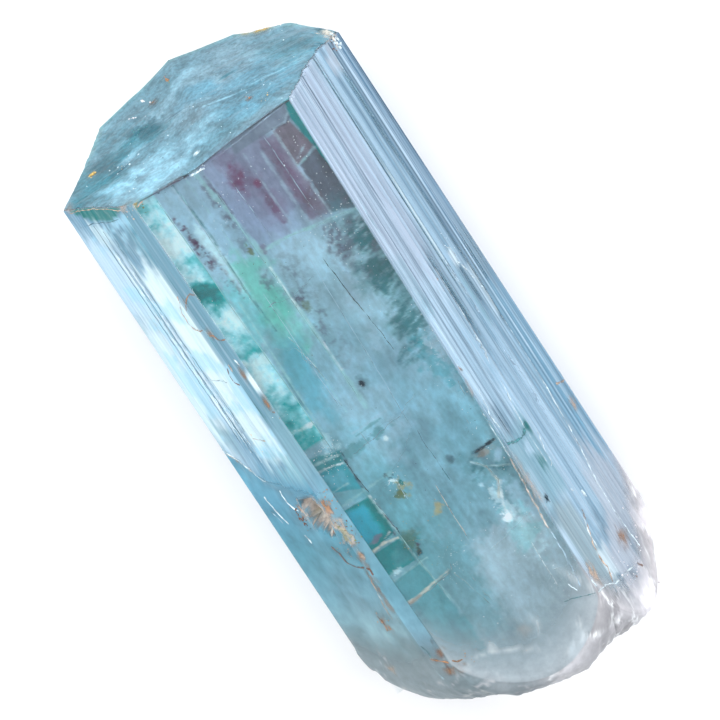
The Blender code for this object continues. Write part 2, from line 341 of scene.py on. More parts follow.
def crystal_rows():
    """All rows of the crystal's surface from the foot's innermost ring to the top's: the places, the
    inward directions, and how deep each hollow has knocked each point in."""
    faces, shares = side_columns()
    rim = foot_rim(faces, shares)
    plain_top = section(faces, shares, np.full(len(faces), HALF_LENGTH))
    bevel = TOP_BEVEL * np.interp(plain_top[:, 1] / DEPTH, (0.3, 0.74), (1, TOP_BEVEL_NEAR))
    lid = top_height(plain_top[:, 0], plain_top[:, 1]) - bevel

    along = np.linspace(0, 1, SIDE_ROWS)[:, None]
    x = blend(rim[None], lid[None], along)
    face_grid = np.broadcast_to(faces, x.shape)
    share_grid = np.broadcast_to(shares, x.shape)
    into, near_edge = inward(face_grid, share_grid)
    sunk = stripe_relief(face_grid, share_grid, x) + scar_relief(face_grid, share_grid, x)
    worn = edge_wear(face_grid, share_grid)
    sunk = blend(sunk, worn, np.clip(near_edge, 0, 1)) * (face_grid != BACK)
    place = section(face_grid, share_grid, x) + into * sunk[..., None]
    side = np.concatenate([x[..., None], place], axis=-1)

    foot_rings = np.sin(np.linspace(0.002, OUTER_RING, FOOT_RING_COUNT) * np.pi / 2)
    foot = foot_surface(faces, shares, foot_rings)

    top_rings = np.linspace(OUTER_RING, 0.001, TOP_RING_COUNT) ** 0.8
    top_place = blend(TOP_CENTRE, side[-1][None, :, 1:], top_rings[:, None, None])
    rise = top_height(top_place[..., 0], top_place[..., 1])
    worn_rim = bevel[None] * np.clip((top_rings - 0.955) / 0.045, 0, 1)[:, None]
    brushed = 0.05 * cloud(top_place * np.array([0.35, 1.6]), 1.6, 44) * top_rings[:, None] ** 0.3
    top = np.concatenate([(rise - worn_rim + brushed)[..., None], top_place], axis=-1)

    rows = np.concatenate([foot, side, top])
    into_rows = np.zeros_like(rows)
    into_rows[:len(foot), :, 0] = 1
    into_rows[len(foot):len(foot) + len(side), :, 1:] = into
    into_rows[len(foot) + len(side):, :, 0] = -1
    hollow_rows = np.zeros((len(HOLLOWS), *rows.shape[:2]))
    for number, (centre, half_sizes, turn) in enumerate(HOLLOWS):
        rows, hollow_rows[number] = knock_out(rows, into_rows, centre, half_sizes, turn, rough=0.12)
    return rows, into_rows, hollow_rows


def new_material(name):
    """A material with only its shader and output, and the handles to build on them."""
    material = bpy.data.materials.new(name)
    material.use_nodes = True
    nodes = material.node_tree.nodes
    return material, nodes, material.node_tree.links, nodes["Principled BSDF"]


def link_all(links, pairs):
    """Joins each pair of sockets."""
    for output, socket in pairs:
        links.new(output, socket)


def mottle_group():
    """Node group that breaks up a painted colour and its cover: noise on Object coordinates, stretched
    by a vector, brightens and darkens the colour and thins and thickens the cover.  The noise, less
    its average, also comes out as a height."""
    group = bpy.data.node_groups.new("mottle", "ShaderNodeTree")
    sockets = (("Colour", "INPUT", "Color"), ("Cover", "INPUT", "Float"), ("Per Metre", "INPUT", "Vector"),
               ("Shade Change", "INPUT", "Float"), ("Cover Change", "INPUT", "Float"),
               ("Colour", "OUTPUT", "Color"), ("Cover", "OUTPUT", "Float"), ("Height", "OUTPUT", "Float"))
    for name, way, kind in sockets:
        group.interface.new_socket(name, in_out=way, socket_type="NodeSocket" + kind)
    nodes, links = group.nodes, group.links
    entry = nodes.new("NodeGroupInput")
    leave = nodes.new("NodeGroupOutput")
    place = nodes.new("ShaderNodeTexCoord")
    scale = nodes.new("ShaderNodeVectorMath")
    scale.operation = "MULTIPLY"
    noise = nodes.new("ShaderNodeTexNoise")
    noise.inputs["Scale"].default_value = 1.0
    noise.inputs["Detail"].default_value = 5.0
    noise.inputs["Roughness"].default_value = 0.62
    centred = nodes.new("ShaderNodeMath")
    centred.operation = "SUBTRACT"
    centred.inputs[1].default_value = 0.5
    shade = nodes.new("ShaderNodeMath")
    shade.operation = "MULTIPLY_ADD"
    shade.inputs[2].default_value = 1.0
    brighten = nodes.new("ShaderNodeVectorMath")
    brighten.operation = "SCALE"
    thicken = nodes.new("ShaderNodeMath")
    thicken.operation = "MULTIPLY_ADD"
    thicken.inputs[2].default_value = 1.0
    cover = nodes.new("ShaderNodeMath")
    cover.operation = "MULTIPLY"
    cover.use_clamp = True
    link_all(links, (
        (place.outputs["Object"], scale.inputs[0]),
        (entry.outputs["Per Metre"], scale.inputs[1]),
        (scale.outputs[0], noise.inputs["Vector"]),
        (noise.outputs["Fac"], centred.inputs[0]),
        (centred.outputs[0], shade.inputs[0]),
        (entry.outputs["Shade Change"], shade.inputs[1]),
        (entry.outputs["Colour"], brighten.inputs[0]),
        (shade.outputs[0], brighten.inputs["Scale"]),
        (brighten.outputs[0], leave.inputs["Colour"]),
        (centred.outputs[0], thicken.inputs[0]),
        (entry.outputs["Cover Change"], thicken.inputs[1]),
        (thicken.outputs[0], cover.inputs[0]),
        (entry.outputs["Cover"], cover.inputs[1]),
        (cover.outputs[0], leave.inputs["Cover"]),
        (centred.outputs[0], leave.inputs["Height"]),
    ))
    return group


MOTTLE = mottle_group()


def add_mottle(nodes, links, per_mm, shade_change, cover_change):
    """Places the mottle group in a material, fed by the paint that its mesh carries."""
    paint = nodes.new("ShaderNodeAttribute")
    paint.attribute_name = "paint"
    mottle = nodes.new("ShaderNodeGroup")
    mottle.node_tree = MOTTLE
    mottle.inputs["Per Metre"].default_value = np.array(per_mm) / MM
    mottle.inputs["Shade Change"].default_value = shade_change
    mottle.inputs["Cover Change"].default_value = cover_change
    links.new(paint.outputs["Color"], mottle.inputs["Colour"])
    links.new(paint.outputs["Alpha"], mottle.inputs["Cover"])
    return mottle


def add_bump(nodes, links, shader, height, distance_mm):
    """Raises a height pattern of this many millimetres on a shader's surface."""
    bump = nodes.new("ShaderNodeBump")
    bump.inputs["Strength"].default_value = 1.0
    bump.inputs["Distance"].default_value = distance_mm * MM
    links.new(height, bump.inputs["Height"])
    links.new(bump.outputs["Normal"], shader.inputs["Normal"])


def set_paint(mesh, colours):
    """Gives each point of a mesh its colour and cover."""
    layer = mesh.attributes.new("paint", "FLOAT_COLOR", "POINT")
    layer.data.foreach_set("color", np.ascontiguousarray(colours, np.float32).ravel())


BERYL_IOR = 1.575
BERYL_TINT = (0.16, 0.56, 0.7, 1)      # colour that the beryl lets through
BERYL_DENSITY = 42.0                    # per metre


def clear_beryl():
    """Clear beryl: plain transmission with absorption through the depth, faintly clouded by its paint
    and finely lined along its length."""
    material, nodes, links, shader = new_material("clear_beryl")
    mottle = add_mottle(nodes, links, (0.12, 3.2, 3.2), 0.25, 0.9)
    shader.inputs["IOR"].default_value = BERYL_IOR
    shader.inputs["Transmission Weight"].default_value = 0.98
    rough = nodes.new("ShaderNodeMapRange")
    rough.inputs["To Min"].default_value = 0.02
    rough.inputs["To Max"].default_value = 0.3
    links.new(mottle.outputs["Colour"], shader.inputs["Base Color"])
    links.new(mottle.outputs["Cover"], rough.inputs["Value"])
    links.new(rough.outputs["Result"], shader.inputs["Roughness"])
    depth = nodes.new("ShaderNodeVolumeAbsorption")
    depth.inputs["Color"].default_value = BERYL_TINT
    depth.inputs["Density"].default_value = BERYL_DENSITY
    links.new(depth.outputs["Volume"], nodes["Material Output"].inputs["Volume"])
    return material


rows, into_rows, hollow_rows = crystal_rows()
column_faces, column_shares = side_columns()
foot_pole = np.array([rows[0, :, 0].mean(), *FOOT_CENTRE])
top_pole = np.array([rows[-1, :, 0].mean(), *TOP_CENTRE])
crystal = ring_mesh("crystal_surface", rows, foot_pole, top_pole)

SIDE_FIRST = FOOT_RING_COUNT
TOP_FIRST = FOOT_RING_COUNT + SIDE_ROWS
row_number = np.arange(len(rows))[:, None] * np.ones(rows.shape[1], int)
on_foot = row_number < SIDE_FIRST
on_top = row_number >= TOP_FIRST
on_side = ~on_foot & ~on_top
side_face = np.where(on_side, column_faces[None], -1)
side_share = np.broadcast_to(column_shares[None], side_face.shape)

# Rough and tint of the glass itself: smooth in front, etched on the striped faces, frosted at the foot.
etch_rows = np.select([on_foot, on_top, side_face == FRONT, side_face == BACK, side_face == LEFT_STRIP],
                      [0.75, 0.22, 0.0, 0.1, 0.06], 0.22)
glass_paint = np.ones((*etch_rows.shape, 4))
glass_paint[..., :3] = (0.93, 0.98, 1.0)
glass_paint[..., 3] = etch_rows
set_paint(crystal.data, np.concatenate([glass_paint[0, :1], glass_paint.reshape(-1, 4), glass_paint[-1, :1]]))
crystal.data.materials.append(clear_beryl())
crystal.data.shade_smooth()
crystal.data.set_sharp_from_angle(angle=math.radians(24))
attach(crystal, "root")
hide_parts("crystal")

# ---------------------------------------------------------------------------------------------------
# The bloom and painted reflections.  Fine growth stripes and etching scatter light on every face but the
# smooth front, so those faces look whitish with darker clear lines between.  Painted reflections of the
# lights lie in the flutes over that: bright bars, lavender, ice and white strokes, and thin steel lines as
# painted dark reflections.  It is a film on the crystal's own surface.

FILM_LIFT = 0.012                # how far the thinnest film lies outside the crystal's surface
SCAR_LIFT = FILM_LIFT * 1.3
BARE = 0.02                      # cover up to which a film or a sheet is left out
# Lavender, the flute whites and the ice of the bright bars are painted reflections of the lights on the
# flutes; steel there is painted dark reflection.
LAVENDER_REFLECTION = (0.34, 0.42, 0.52)
ICE = (0.36, 0.5, 0.61)
WHITE_GLARE = (0.6, 0.72, 0.77)
FLUTE_HIGHLIGHT = (0.46, 0.59, 0.64)
STEEL = (0.02, 0.06, 0.1)
SKY = (0.15, 0.31, 0.43)
SLATE = (0.08, 0.17, 0.26)
PALE_STEEL = (0.22, 0.36, 0.47)
SEA_GREY = (0.07, 0.2, 0.26)
DEEP_TEAL = (0.005, 0.07, 0.1)
LENS_GREEN = (0.01, 0.13, 0.13)
FLUTE_GREY = (0.09, 0.19, 0.25)
FLUTE_SOFT_HIGHLIGHT = (0.53, 0.66, 0.72)
STRIP_GREY = (0.11, 0.23, 0.3)
WINDOW_BLUE = (0.17, 0.31, 0.38)
WINDOW_GREY = (0.21, 0.3, 0.34)
PALE_LILAC = (0.32, 0.37, 0.43)
EDGE_LILAC = (0.48, 0.53, 0.6)
CLEAR_TEAL = (0.19, 0.37, 0.43)
WASH_BLUE = ICE * np.array([0.72, 0.95, 0.98])
# The green rim below the top of the left face is a painted internal reflection.
REFLECTED_GREEN_RIM = 24.15                # where the left face's green rim begins, at its middle

# The pale strokes on the flutes, in lavender, ice and flute white, are painted reflections of the lights; the
# thin steel strokes are painted dark reflections.
STROKES = (
    # face, colour, cover, share across the face and half width, from and to along the crystal, fade, rag
    (RIGHT, LAVENDER_REFLECTION, 0.92, 0.2, 0.3, 2, 30, 6, 0.3), (RIGHT, LAVENDER_REFLECTION, 0.85, 0.52, 0.14, 5, 30, 6, 0.3),
    (RIGHT, PALE_STEEL, 0.8, 0.83, 0.13, 3, 30, 4, 0.3), (RIGHT, ICE, 0.8, 0.22, 0.28, -7, 8, 4, 0.4),
    (RIGHT, PALE_STEEL, 0.75, 0.55, 0.4, -24, 4, 6, 0.4), (RIGHT, ICE, 0.55, 0.42, 0.16, -20, 1, 5, 0.5),
    (RIGHT, ICE, 0.5, 0.72, 0.1, -23, -2, 5, 0.5), (RIGHT, SKY, 0.6, 0.98, 0.08, -24, 2, 5, 0.3),
    (RIGHT, STEEL, 0.8, 0.61, 0.012, 0, 30, 5, 0.2), (RIGHT, STEEL, 0.6, 0.655, 0.008, -8, 26, 5, 0.2),
    (RIGHT, STEEL, 0.75, 0.36, 0.009, 4, 30, 5, 0.2), (RIGHT, STEEL, 0.7, 0.235, 0.008, 8, 28, 5, 0.2),
    (RIGHT, SEA_GREY, 0.9, 0.78, 0.045, -1.5, 5.0, 1.5, 0.3),
    (RIGHT, WHITE_GLARE, 0.85, 0.85, 0.05, 3.8, 6.6, 1.2, 1.2),
    (RIGHT, WHITE_GLARE, 0.55, 0.96, 0.035, -1.0, 3.6, 1.2, 1.5),
    (RIGHT, WHITE_GLARE, 0.75, 0.7, 0.012, 0, 18, 6, 0.2),
    (RIGHT_STRIP, SLATE, 0.85, 0.5, 0.6, 3, 30, 5, 0.3),
    (RIGHT_STRIP, SKY, 0.8, 0.5, 0.6, -26, 3, 5, 0.3),
    (RIGHT_STRIP, STEEL, 0.85, 0.07, 0.05, 4, 30, 5, 0.2),
    (RIGHT_STRIP, STEEL, 0.6, 0.9, 0.08, 8, 30, 5, 0.2),
    (RIGHT_STRIP, ICE, 0.8, 0.25, 0.06, -8, 26, 5, 0.2),
    (RIGHT_STRIP, ICE, 0.6, 0.55, 0.04, -20, 20, 5, 0.2), (LEFT, SKY, 0.55, 0.5, 0.6, -30, 30, 5, 0.2),
    (LEFT, ICE, 0.9, 0.15, 0.22, 13, 24.6, 3, 0.3), (LEFT, FLUTE_HIGHLIGHT, 0.8, 0.15, 0.18, 0.5, 17, 4, 0.3),
    (LEFT, FLUTE_SOFT_HIGHLIGHT, 0.45, 0.22, 0.1, 5, 18, 4, 0.6), (LEFT, ICE, 0.75, 0.42, 0.13, 3, 23.5, 3, 0.3),
    (LEFT, FLUTE_GREY, 0.8, 0.74, 0.28, 20.0, 24.6, 1.5, 0.2),
    (LEFT, FLUTE_HIGHLIGHT, 0.94, 0.76, 0.24, -0.8, 20.5, 3.0, 0.7),
    (LEFT, FLUTE_SOFT_HIGHLIGHT, 0.45, 0.68, 0.1, 6, 20, 3, 0.6),
    (LEFT, DEEP_TEAL, 0.45, 0.36, 0.01, 3, 24, 4, 0.1),
    (LEFT, DEEP_TEAL, 0.6, 0.43, 0.012, 2, 24, 4, 0.1),
    (LEFT, DEEP_TEAL, 0.55, 0.51, 0.01, 1.5, 23, 4, 0.1),
    (LEFT, WHITE_GLARE, 0.85, 0.4, 0.01, 2, 24, 3, 0.1),
    (LEFT, WHITE_GLARE, 0.85, 0.47, 0.01, 1.5, 22, 3, 0.1),
    (LEFT, FLUTE_GREY, 0.55, 0.96, 0.04, 8, 24, 3, 0.3),
    (LEFT, FLUTE_GREY, 0.6, 0.0, 0.02, 0, 26, 3, 0.3), (LEFT, SEA_GREY, 0.6, 0.22, 0.1, 1.5, 6, 2, 0.8),
    (LEFT_STRIP, STRIP_GREY, 0.9, 0.5, 0.7, 2, 30, 6, 0.3),
    (LEFT_STRIP, SKY, 0.75, 0.5, 0.7, -16, 2, 6, 0.3), (LEFT_STRIP, ICE, 0.25, 0.4, 0.05, 4, 20, 4, 0.3),
    (LEFT_STRIP, WHITE_GLARE, 0.9, 0.8, 0.14, 6.6, 9.6, 1.2, 0.1),
)

# Smooth patches and clouded marks that lie over the stripes.
LATE_STROKES = (
    (RIGHT, WINDOW_BLUE, 0.85, 0.22, 0.25, -15, -6.5, 1.5, 0.3),
    (RIGHT, WINDOW_GREY, 0.85, 0.17, 0.21, -24, -13.5, 2, 0.3),
    (RIGHT, LENS_GREEN, 0.9, 0.38, 0.07, -9.2, -7.4, 0.5, 1.0),
    (RIGHT, LENS_GREEN, 0.6, 0.32, 0.06, -11.8, -10.2, 0.6, 1.2),
    (RIGHT, ICE, 0.6, 0.25, 0.06, -10.0, -8.6, 0.5, 0.8),
    (RIGHT, ICE, 0.7, 0.04, 0.04, -22.0, -14.0, 2, 0.5),
    (RIGHT, WHITE_GLARE, 0.55, 0.36, 0.1, -23.8, -19, 1.5, 0.9),
    (LEFT, ICE, 0.25, 0.22, 0.24, -1.0, 3.5, 1.5, 0.8),
    (LEFT_STRIP, WINDOW_BLUE, 0.75, 0.5, 0.7, -2.5, 6.5, 3, 0.3),
    (RIGHT, PALE_LILAC, 0.75, 0.86, 0.17, -26, -13, 5, 0.4),
    (RIGHT_STRIP, PALE_LILAC, 0.8, 0.5, 0.7, -27, -12, 6, 0.4),
    (LEFT, FLUTE_HIGHLIGHT, 0.6, 0.38, 0.13, 21.5, 24.6, 1.0, 0.6),
    (LEFT, SEA_GREY, 0.6, 0.95, 0.09, 19, 24.8, 2, 0.3),
    (LEFT, CLEAR_TEAL, 0.75, 0.82, 0.2, -2.5, 2.2, 1.8, 1.0),
    (RIGHT, PALE_LILAC, 0.85, 0.57, 0.19, -26, -18.5, 2, 0.7),
    (RIGHT, EDGE_LILAC, 0.5, 0.93, 0.12, 21.5, 25.5, 1.5, 0.6),
    (RIGHT, WINDOW_BLUE, 0.4, 0.08, 0.1, 4, 11, 2, 0.6),
    (RIGHT, ICE, 0.28, 0.06, 0.09, -15.0, -9.5, 1.5, 0.6),
)


def stroke(shares, x, middle, half, low, high, fade, rag, seed):
    """Cover from 0 to 1 of a soft stroke along a face that wanders a little, and frays at its ends
    and, where it is wide, along its sides."""
    wander = 0.006 * cloud(np.stack([x, np.full_like(x, seed)], axis=-1), 9.0, seed)
    across = (half - np.abs(shares - middle - wander)) / max(0.25 * half, 0.006)
    ends = np.minimum(x - low, high - x) / fade
    fray = rag * cloud(np.stack([x * 0.4, shares * 9.0], axis=-1), 1.2, seed + 1)
    return eased(np.clip(across, 0, 1) * np.clip(ends + fray, 0, 1))


def over(paint, colour, cover):
    """Lays a colour with a cover from 0 to 1 over a paint of colours and covers."""
    colour = np.asarray(colour, float)
    both = cover + paint[..., 3] * (1 - cover)
    share = np.where(both > 1e-6, cover / np.maximum(both, 1e-6), 0)[..., None]
    return np.concatenate([blend(paint[..., :3], colour, share), both[..., None]], axis=-1)


def add_strokes(part, strokes, face, shares, x, seed):
    """Lays those strokes of a table that belong to a face over the paint of its points."""
    for number, (on_face, colour, cover, *shape) in enumerate(strokes):
        if on_face == face:
            part = over(part, colour, cover * stroke(shares, x, *shape, seed + 2 * number))
    return part


def colour_at(x, stops, colours):
    """Colours at places x, in proportion between the colours of the stops on either side."""
    return np.stack([np.interp(x, stops, colours[:, part]) for part in range(3)], axis=-1)


def film(name, paint, lift, material, body="root"):
    """A thin film on the crystal: its own surface raised by the lift wherever the paint covers it."""
    kept = paint[..., 3] > BARE
    after = np.roll(np.arange(rows.shape[1]), -1)
    quad = kept[:-1] | kept[1:] | kept[:-1][:, after] | kept[1:][:, after]
    number = np.arange(rows.shape[0] * rows.shape[1]).reshape(rows.shape[:2])
    quads = np.stack([number[:-1], number[:-1][:, after], number[1:][:, after], number[1:]], axis=-1)[quad]
    used, renumbered = np.unique(quads, return_inverse=True)
    points = np.clip((rows - into_rows * lift).reshape(-1, 3)[used], BOX_LOW, BOX_HIGH)
    return painted_piece(name, points, renumbered.reshape(-1, 4), paint.reshape(-1, 4)[used], material, body)


def painted_piece(name, points, faces, paint, material, body="root"):
    """A smooth piece that rides with the crystal, from its points in millimetres, its faces and the
    colour and cover of each point."""
    mesh = bpy.data.meshes.new(name)
    mesh.from_pydata(points * MM, [], faces)
    set_paint(mesh, paint)
    mesh.materials.append(material)
    mesh.shade_smooth()
    piece = bpy.data.objects.new(name, mesh)
    bpy.context.scene.collection.objects.link(piece)
    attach(piece, body)
    return piece


def painted(name, roughness, gloss, per_mm, shade_change, cover_change, bump_mm=0.0):
    """A plain painted surface whose colour and cover come from the mesh, broken up by fine noise."""
    material, nodes, links, shader = new_material(name)
    mottle = add_mottle(nodes, links, per_mm, shade_change, cover_change)
    shader.inputs["Roughness"].default_value = roughness
    shader.inputs["Specular IOR Level"].default_value = gloss
    links.new(mottle.outputs["Colour"], shader.inputs["Base Color"])
    links.new(mottle.outputs["Cover"], shader.inputs["Alpha"])
    if bump_mm:
        add_bump(nodes, links, shader, mottle.outputs["Height"], bump_mm)
    return material


# Where the stripes end on the two left faces, and the colours of the smooth shell-shaped break below.
SCAR_ENDS = {LEFT: SCAR_TOP, LEFT_STRIP: (-2.4,) * len(SCAR_SHARES)}
SCAR_SEAM = 0.12                 # the width over which the break's bloom begins, over the stripes' own
SCAR_X = (-24, -20, -16, -12, -8, -3, 2)
SCAR_COLOURS = {
    LEFT: np.array([(0.18, 0.26, 0.28), (0.18, 0.28, 0.3), (0.16, 0.28, 0.32), (0.1, 0.23, 0.29),
                    (0.06, 0.2, 0.26), (0.065, 0.21, 0.3), (0.1, 0.26, 0.35)]),
    LEFT_STRIP: np.array([(0.24, 0.35, 0.4), (0.2, 0.34, 0.43), (0.15, 0.3, 0.38), (0.1, 0.25, 0.32),
                          (0.12, 0.26, 0.33), (0.13, 0.28, 0.36), (0.13, 0.28, 0.36)]),
}


def scar_end(face, shares):
    """Place along the crystal where the smooth break below begins."""
    return np.interp(shares, SCAR_SHARES, SCAR_ENDS[face])


def scar_paint():
    """The smooth break's milky bloom: colours along the length with soft clouds of two sizes, and a
    paler sheen along the silhouette's edge."""
    paint = np.zeros((*rows.shape[:2], 4))
    broad, small = cloud(rows, 4.5, 57), cloud(rows, 1.3, 58)
    for face in SCAR_COLOURS:
        here = side_face == face
        u, along = side_share[here], rows[here][:, 0]
        shade = 1 + 0.1 * broad[here] + 0.07 * small[here] + 0.2 * np.clip(1 - u / 0.25, 0, 1)
        paint[here, :3] = colour_at(along, SCAR_X, SCAR_COLOURS[face]) * np.clip(shade, 0.5, 1.5)[:, None]
        cover = np.clip((scar_end(face, u) - along) / SCAR_SEAM + 1, 0, 1)
        paint[here, 3] = 0.95 * cover * np.clip(0.9 + 0.15 * small[here], 0, 1)
    return paint


def bloom_and_reflection_paint():
    """Colour and cover of the bloom and its painted reflections on the striped faces: a thin veil, broad and
    fine strokes of colour, narrow bright bars as painted highlights and dark bars as painted dark reflections
    along the stripes, and late strokes over those.  Near the smooth break it takes on the break's colours,
    and it ends under the break's own bloom.  Watery washes and a green rim below the top, a painted internal
    reflection, lie on the left face."""
    rng = np.random.default_rng(77)
    x = rows[..., 0]
    paint = np.zeros((*x.shape, 4))
    paint[..., :3] = ICE
    recipes = (
        # face, veil, bright bars as painted highlights (count, width, strength), dark bars as painted dark
        # reflections (count, width, strength)
        (RIGHT, 0.3, (80, 0.03, 0.75), (60, 0.014, 0.66)),
        (RIGHT_STRIP, 0.3, (14, 0.08, 0.6), (14, 0.07, 0.7)),
        (LOW_RIGHT, 0.45, (20, 0.08, 0.5), (14, 0.06, 0.55)),
        (LOW_STRIP, 0.45, (12, 0.08, 0.5), (8, 0.06, 0.5)),
        (LEFT, 0.3, (16, 0.04, 0.4), (14, 0.014, 0.22)),
        (LOW_LEFT, 0.45, (30, 0.05, 0.55), (18, 0.03, 0.55)),
        (LEFT_STRIP, 0.3, (5, 0.08, 0.16), (4, 0.05, 0.2)),
    )
    for face, veil, bright, dark in recipes:
        here = side_face == face
        u, along = side_share[here], x[here]
        part = np.full((len(u), 4), veil)
        part[:, :3] = SKY
        part = add_strokes(part, STROKES, face, u, along, 200)
        strength = np.interp(along, (-16, 3), (0.35, 1)) if face == RIGHT else 1.0
        # Painted highlights and painted dark reflections: bright ice bars and dark steel bars along the
        # stripes.
        part = over(part, ICE, bright[2] * strength * streaks(u, along, bright[0], bright[1], rng))
        part = over(part, STEEL, dark[2] * strength * streaks(u, along, dark[0], dark[1], rng, (10, 50), 0.3))
        if face == LEFT:
            wash = np.clip(1.6 * cloud(np.stack([along, u * 6.4], axis=-1), 2.2, 55, 5) - 0.25, 0, 0.65)
            part = over(part, WASH_BLUE, wash * (along > 1.5) * (u > 0.1))
            # Painted internal reflection: a dark green rim below the top, in the nick there.
            above_rim = along - REFLECTED_GREEN_RIM - 1.3 * ((u - 0.6) / 0.45) ** 2
            part = over(part, LENS_GREEN, 0.95 * np.clip(above_rim / 0.12, 0, 1) * (u > 0.12))
        part = add_strokes(part, LATE_STROKES, face, u, along, 500)
        if face in SCAR_ENDS:
            above = along - scar_end(face, u)
            melt = np.clip(1 - (above - 0.2) / 2.8, 0, 1) ** 1.5 * np.interp(u, (0.25, 0.5), (0, 1))
            part = over(part, colour_at(along, SCAR_X, SCAR_COLOURS[face]), melt)
            part[:, 3] *= np.clip(above / SCAR_SEAM + 4, 0, 1)
        paint[here] = part
    return paint


film("growth_bloom_and_reflections", bloom_and_reflection_paint(), FILM_LIFT,
     painted("etched_bloom_and_reflections", 0.35, 0.2, (0.1, 5.0, 5.0), 0.45, 0.5, 0.012))
scar_bloom = film("scar_bloom", scar_paint(), SCAR_LIFT,
                  painted("milky_bloom", 0.35, 0.2, (0.8, 1.2, 1.2), 0.35, 0.2, 0.02))
scar_bloom.visible_shadow = False    # its soft edge would darken the film below along a line

# ---------------------------------------------------------------------------------------------------
# The top face's bloom.  The grown end is brushed with fine etch lines that run across it, whitest near
# the left front corner, with a clear dark blotch behind it and a greenish rim round the far side.

BRUSHED = (0.11, 0.26, 0.33)
BRUSHED_WHITE = (0.21, 0.42, 0.53)
BRUSHED_BLUE = (0.07, 0.21, 0.29)
TOP_TEAL = (0.003, 0.12, 0.16)
TOP_GREY = (0.16, 0.27, 0.33)
RIM_GREEN = (0.2, 0.4, 0.38)

TOP_PATCHES = (
    # colour, cover, centre (y, z), half sizes, turn, rag
    (TOP_GREY, 0.75, (-1.5, 6.5), (5.0, 3.8), 20, 0.3),
    (BRUSHED_BLUE, 0.7, (-5.0, 12.0), (3.5, 4.0), 10, 0.3),
    (TOP_TEAL, 0.45, (-8.8, 7.5), (2.4, 2.4), 0, 0.5),
    (TOP_TEAL, 0.8, (9.4, 8.5), (2.4, 5.0), 20, 0.4),
    (TOP_TEAL, 0.35, (6.2, 5.0), (2.2, 2.4), 0, 0.5),
    (DEEP_TEAL, 0.55, (7.9, 8.0), (1.1, 2.6), 15, 0.6),
    (TOP_TEAL, 0.5, (10.4, 12.4), (2.0, 1.2), -20, 0.4),
    (BRUSHED_WHITE, 0.8, (5.6, 14.6), (4.0, 2.4), -12, 0.35),
    (BRUSHED_WHITE, 0.55, (2.2, 12.8), (3.4, 2.2), -15, 0.4),
    (BRUSHED_WHITE, 0.8, (5.9, 9.2), (1.2, 1.4), -30, 0.6),
    (BRUSHED_WHITE, 0.25, (-0.4, 4.4), (3.6, 0.5), 42, 0.3),
    (TOP_TEAL, 0.85, (4.2, 7.4), (1.7, 1.7), 20, 0.6),
    (DEEP_TEAL, 0.95, (3.7, 6.8), (1.0, 1.1), 20, 0.8),
    (TOP_TEAL, 0.7, (-3.6, 7.4), (0.8, 0.22), 10, 0.4),
    (BRUSHED_WHITE, 0.75, (-2.2, 10.9), (2.1, 0.12), -22, 0.3),
    (BRUSHED_WHITE, 0.6, (-6.6, 11.6), (2.0, 0.14), -8, 0.4),
    (STEEL, 0.6, (1.3, 8.2), (1.5, 0.1), -24, 0.3),
    (STEEL, 0.5, (3.2, 10.4), (1.8, 0.1), -30, 0.5),
    (STEEL, 0.55, (6.6, 10.4), (1.3, 0.1), 14, 0.3),
    (TOP_TEAL, 0.6, (8.6, 10.6), (2.2, 0.12), -36, 0.3),
    (WHITE_GLARE, 1.0, (1.5, 15.9), (0.22, 0.22), 0, 0.2),
    (BRUSHED_BLUE, 0.8, (-1.2, 7.4), (2.4, 1.5), 20, 0.5),
    (BRUSHED_BLUE, 0.6, (-4.2, 15.0), (3.0, 1.6), -10, 0.4),
)


def spot(x, y, centre, half_sizes, turn, rag, soft, square, seed):
    """Cover from 0 to 1 of one spot: an oval, or a box with rounded corners where square is high, turned
    in degrees, its distance from the middle roughened by noise before the edge is cut."""
    c, s = math.cos(math.radians(turn)), math.sin(math.radians(turn))
    along = ((x - centre[0]) * c + (y - centre[1]) * s) / half_sizes[0]
    aside = ((y - centre[1]) * c - (x - centre[0]) * s) / half_sizes[1]
    far = (np.abs(along) ** square + np.abs(aside) ** square) ** (1 / square)
    if rag:
        far = far + rag * cloud(np.stack([x, y], axis=-1), max(min(half_sizes), 0.5), seed)
    return eased(np.clip((1 + soft / 2 - far) / soft, 0, 1))


def top_bloom_paint():
    """Brushed veil on the top: streaks across the face, with named patches laid over."""
    paint = np.zeros((*rows.shape[:2], 4))
    y, z = rows[on_top][:, 1], rows[on_top][:, 2]
    lines = np.stack([y * 0.9, z * 0.7 + y * 0.35], axis=-1)
    brush = 0.5 + 0.24 * cloud(lines, 1.1, 61, 5)
    broad = 0.5 + 0.4 * cloud(np.stack([y, z], axis=-1), 5.0, 63)
    part = np.zeros((len(y), 4))
    part[:, :3] = blend(np.array(TOP_GREY), np.array(BRUSHED), np.clip(broad, 0, 1)[:, None])
    part[:, 3] = np.clip(0.6 + 0.35 * brush, 0, 0.94)
    for number, (colour, cover, centre, half_sizes, turn, rag) in enumerate(TOP_PATCHES):
        streaked = np.clip(0.25 + 1.0 * brush, 0.1, 1.3) if min(half_sizes) > 0.5 else 1.0
        mask = spot(y, z, centre, half_sizes, turn, rag, 0.7, 2, 30 + number)
        part = over(part, colour, np.clip(cover * mask * streaked, 0, 1))
    part[:, :3] *= np.clip(0.6 + 0.8 * brush, 0.4, 1.6)[:, None]
    ring = np.clip((row_number[on_top] - TOP_FIRST), 0, 5) / 5
    part = over(part, RIM_GREEN, 0.6 * (1 - ring) * np.clip(1.6 - z / 5, 0, 1))
    paint[on_top] = part
    return paint


film("top_bloom", top_bloom_paint(), FILM_LIFT,
     painted("brushed_bloom", 0.38, 0.1, (3.0, 3.0, 3.0), 1.3, 0.2, 0.04))

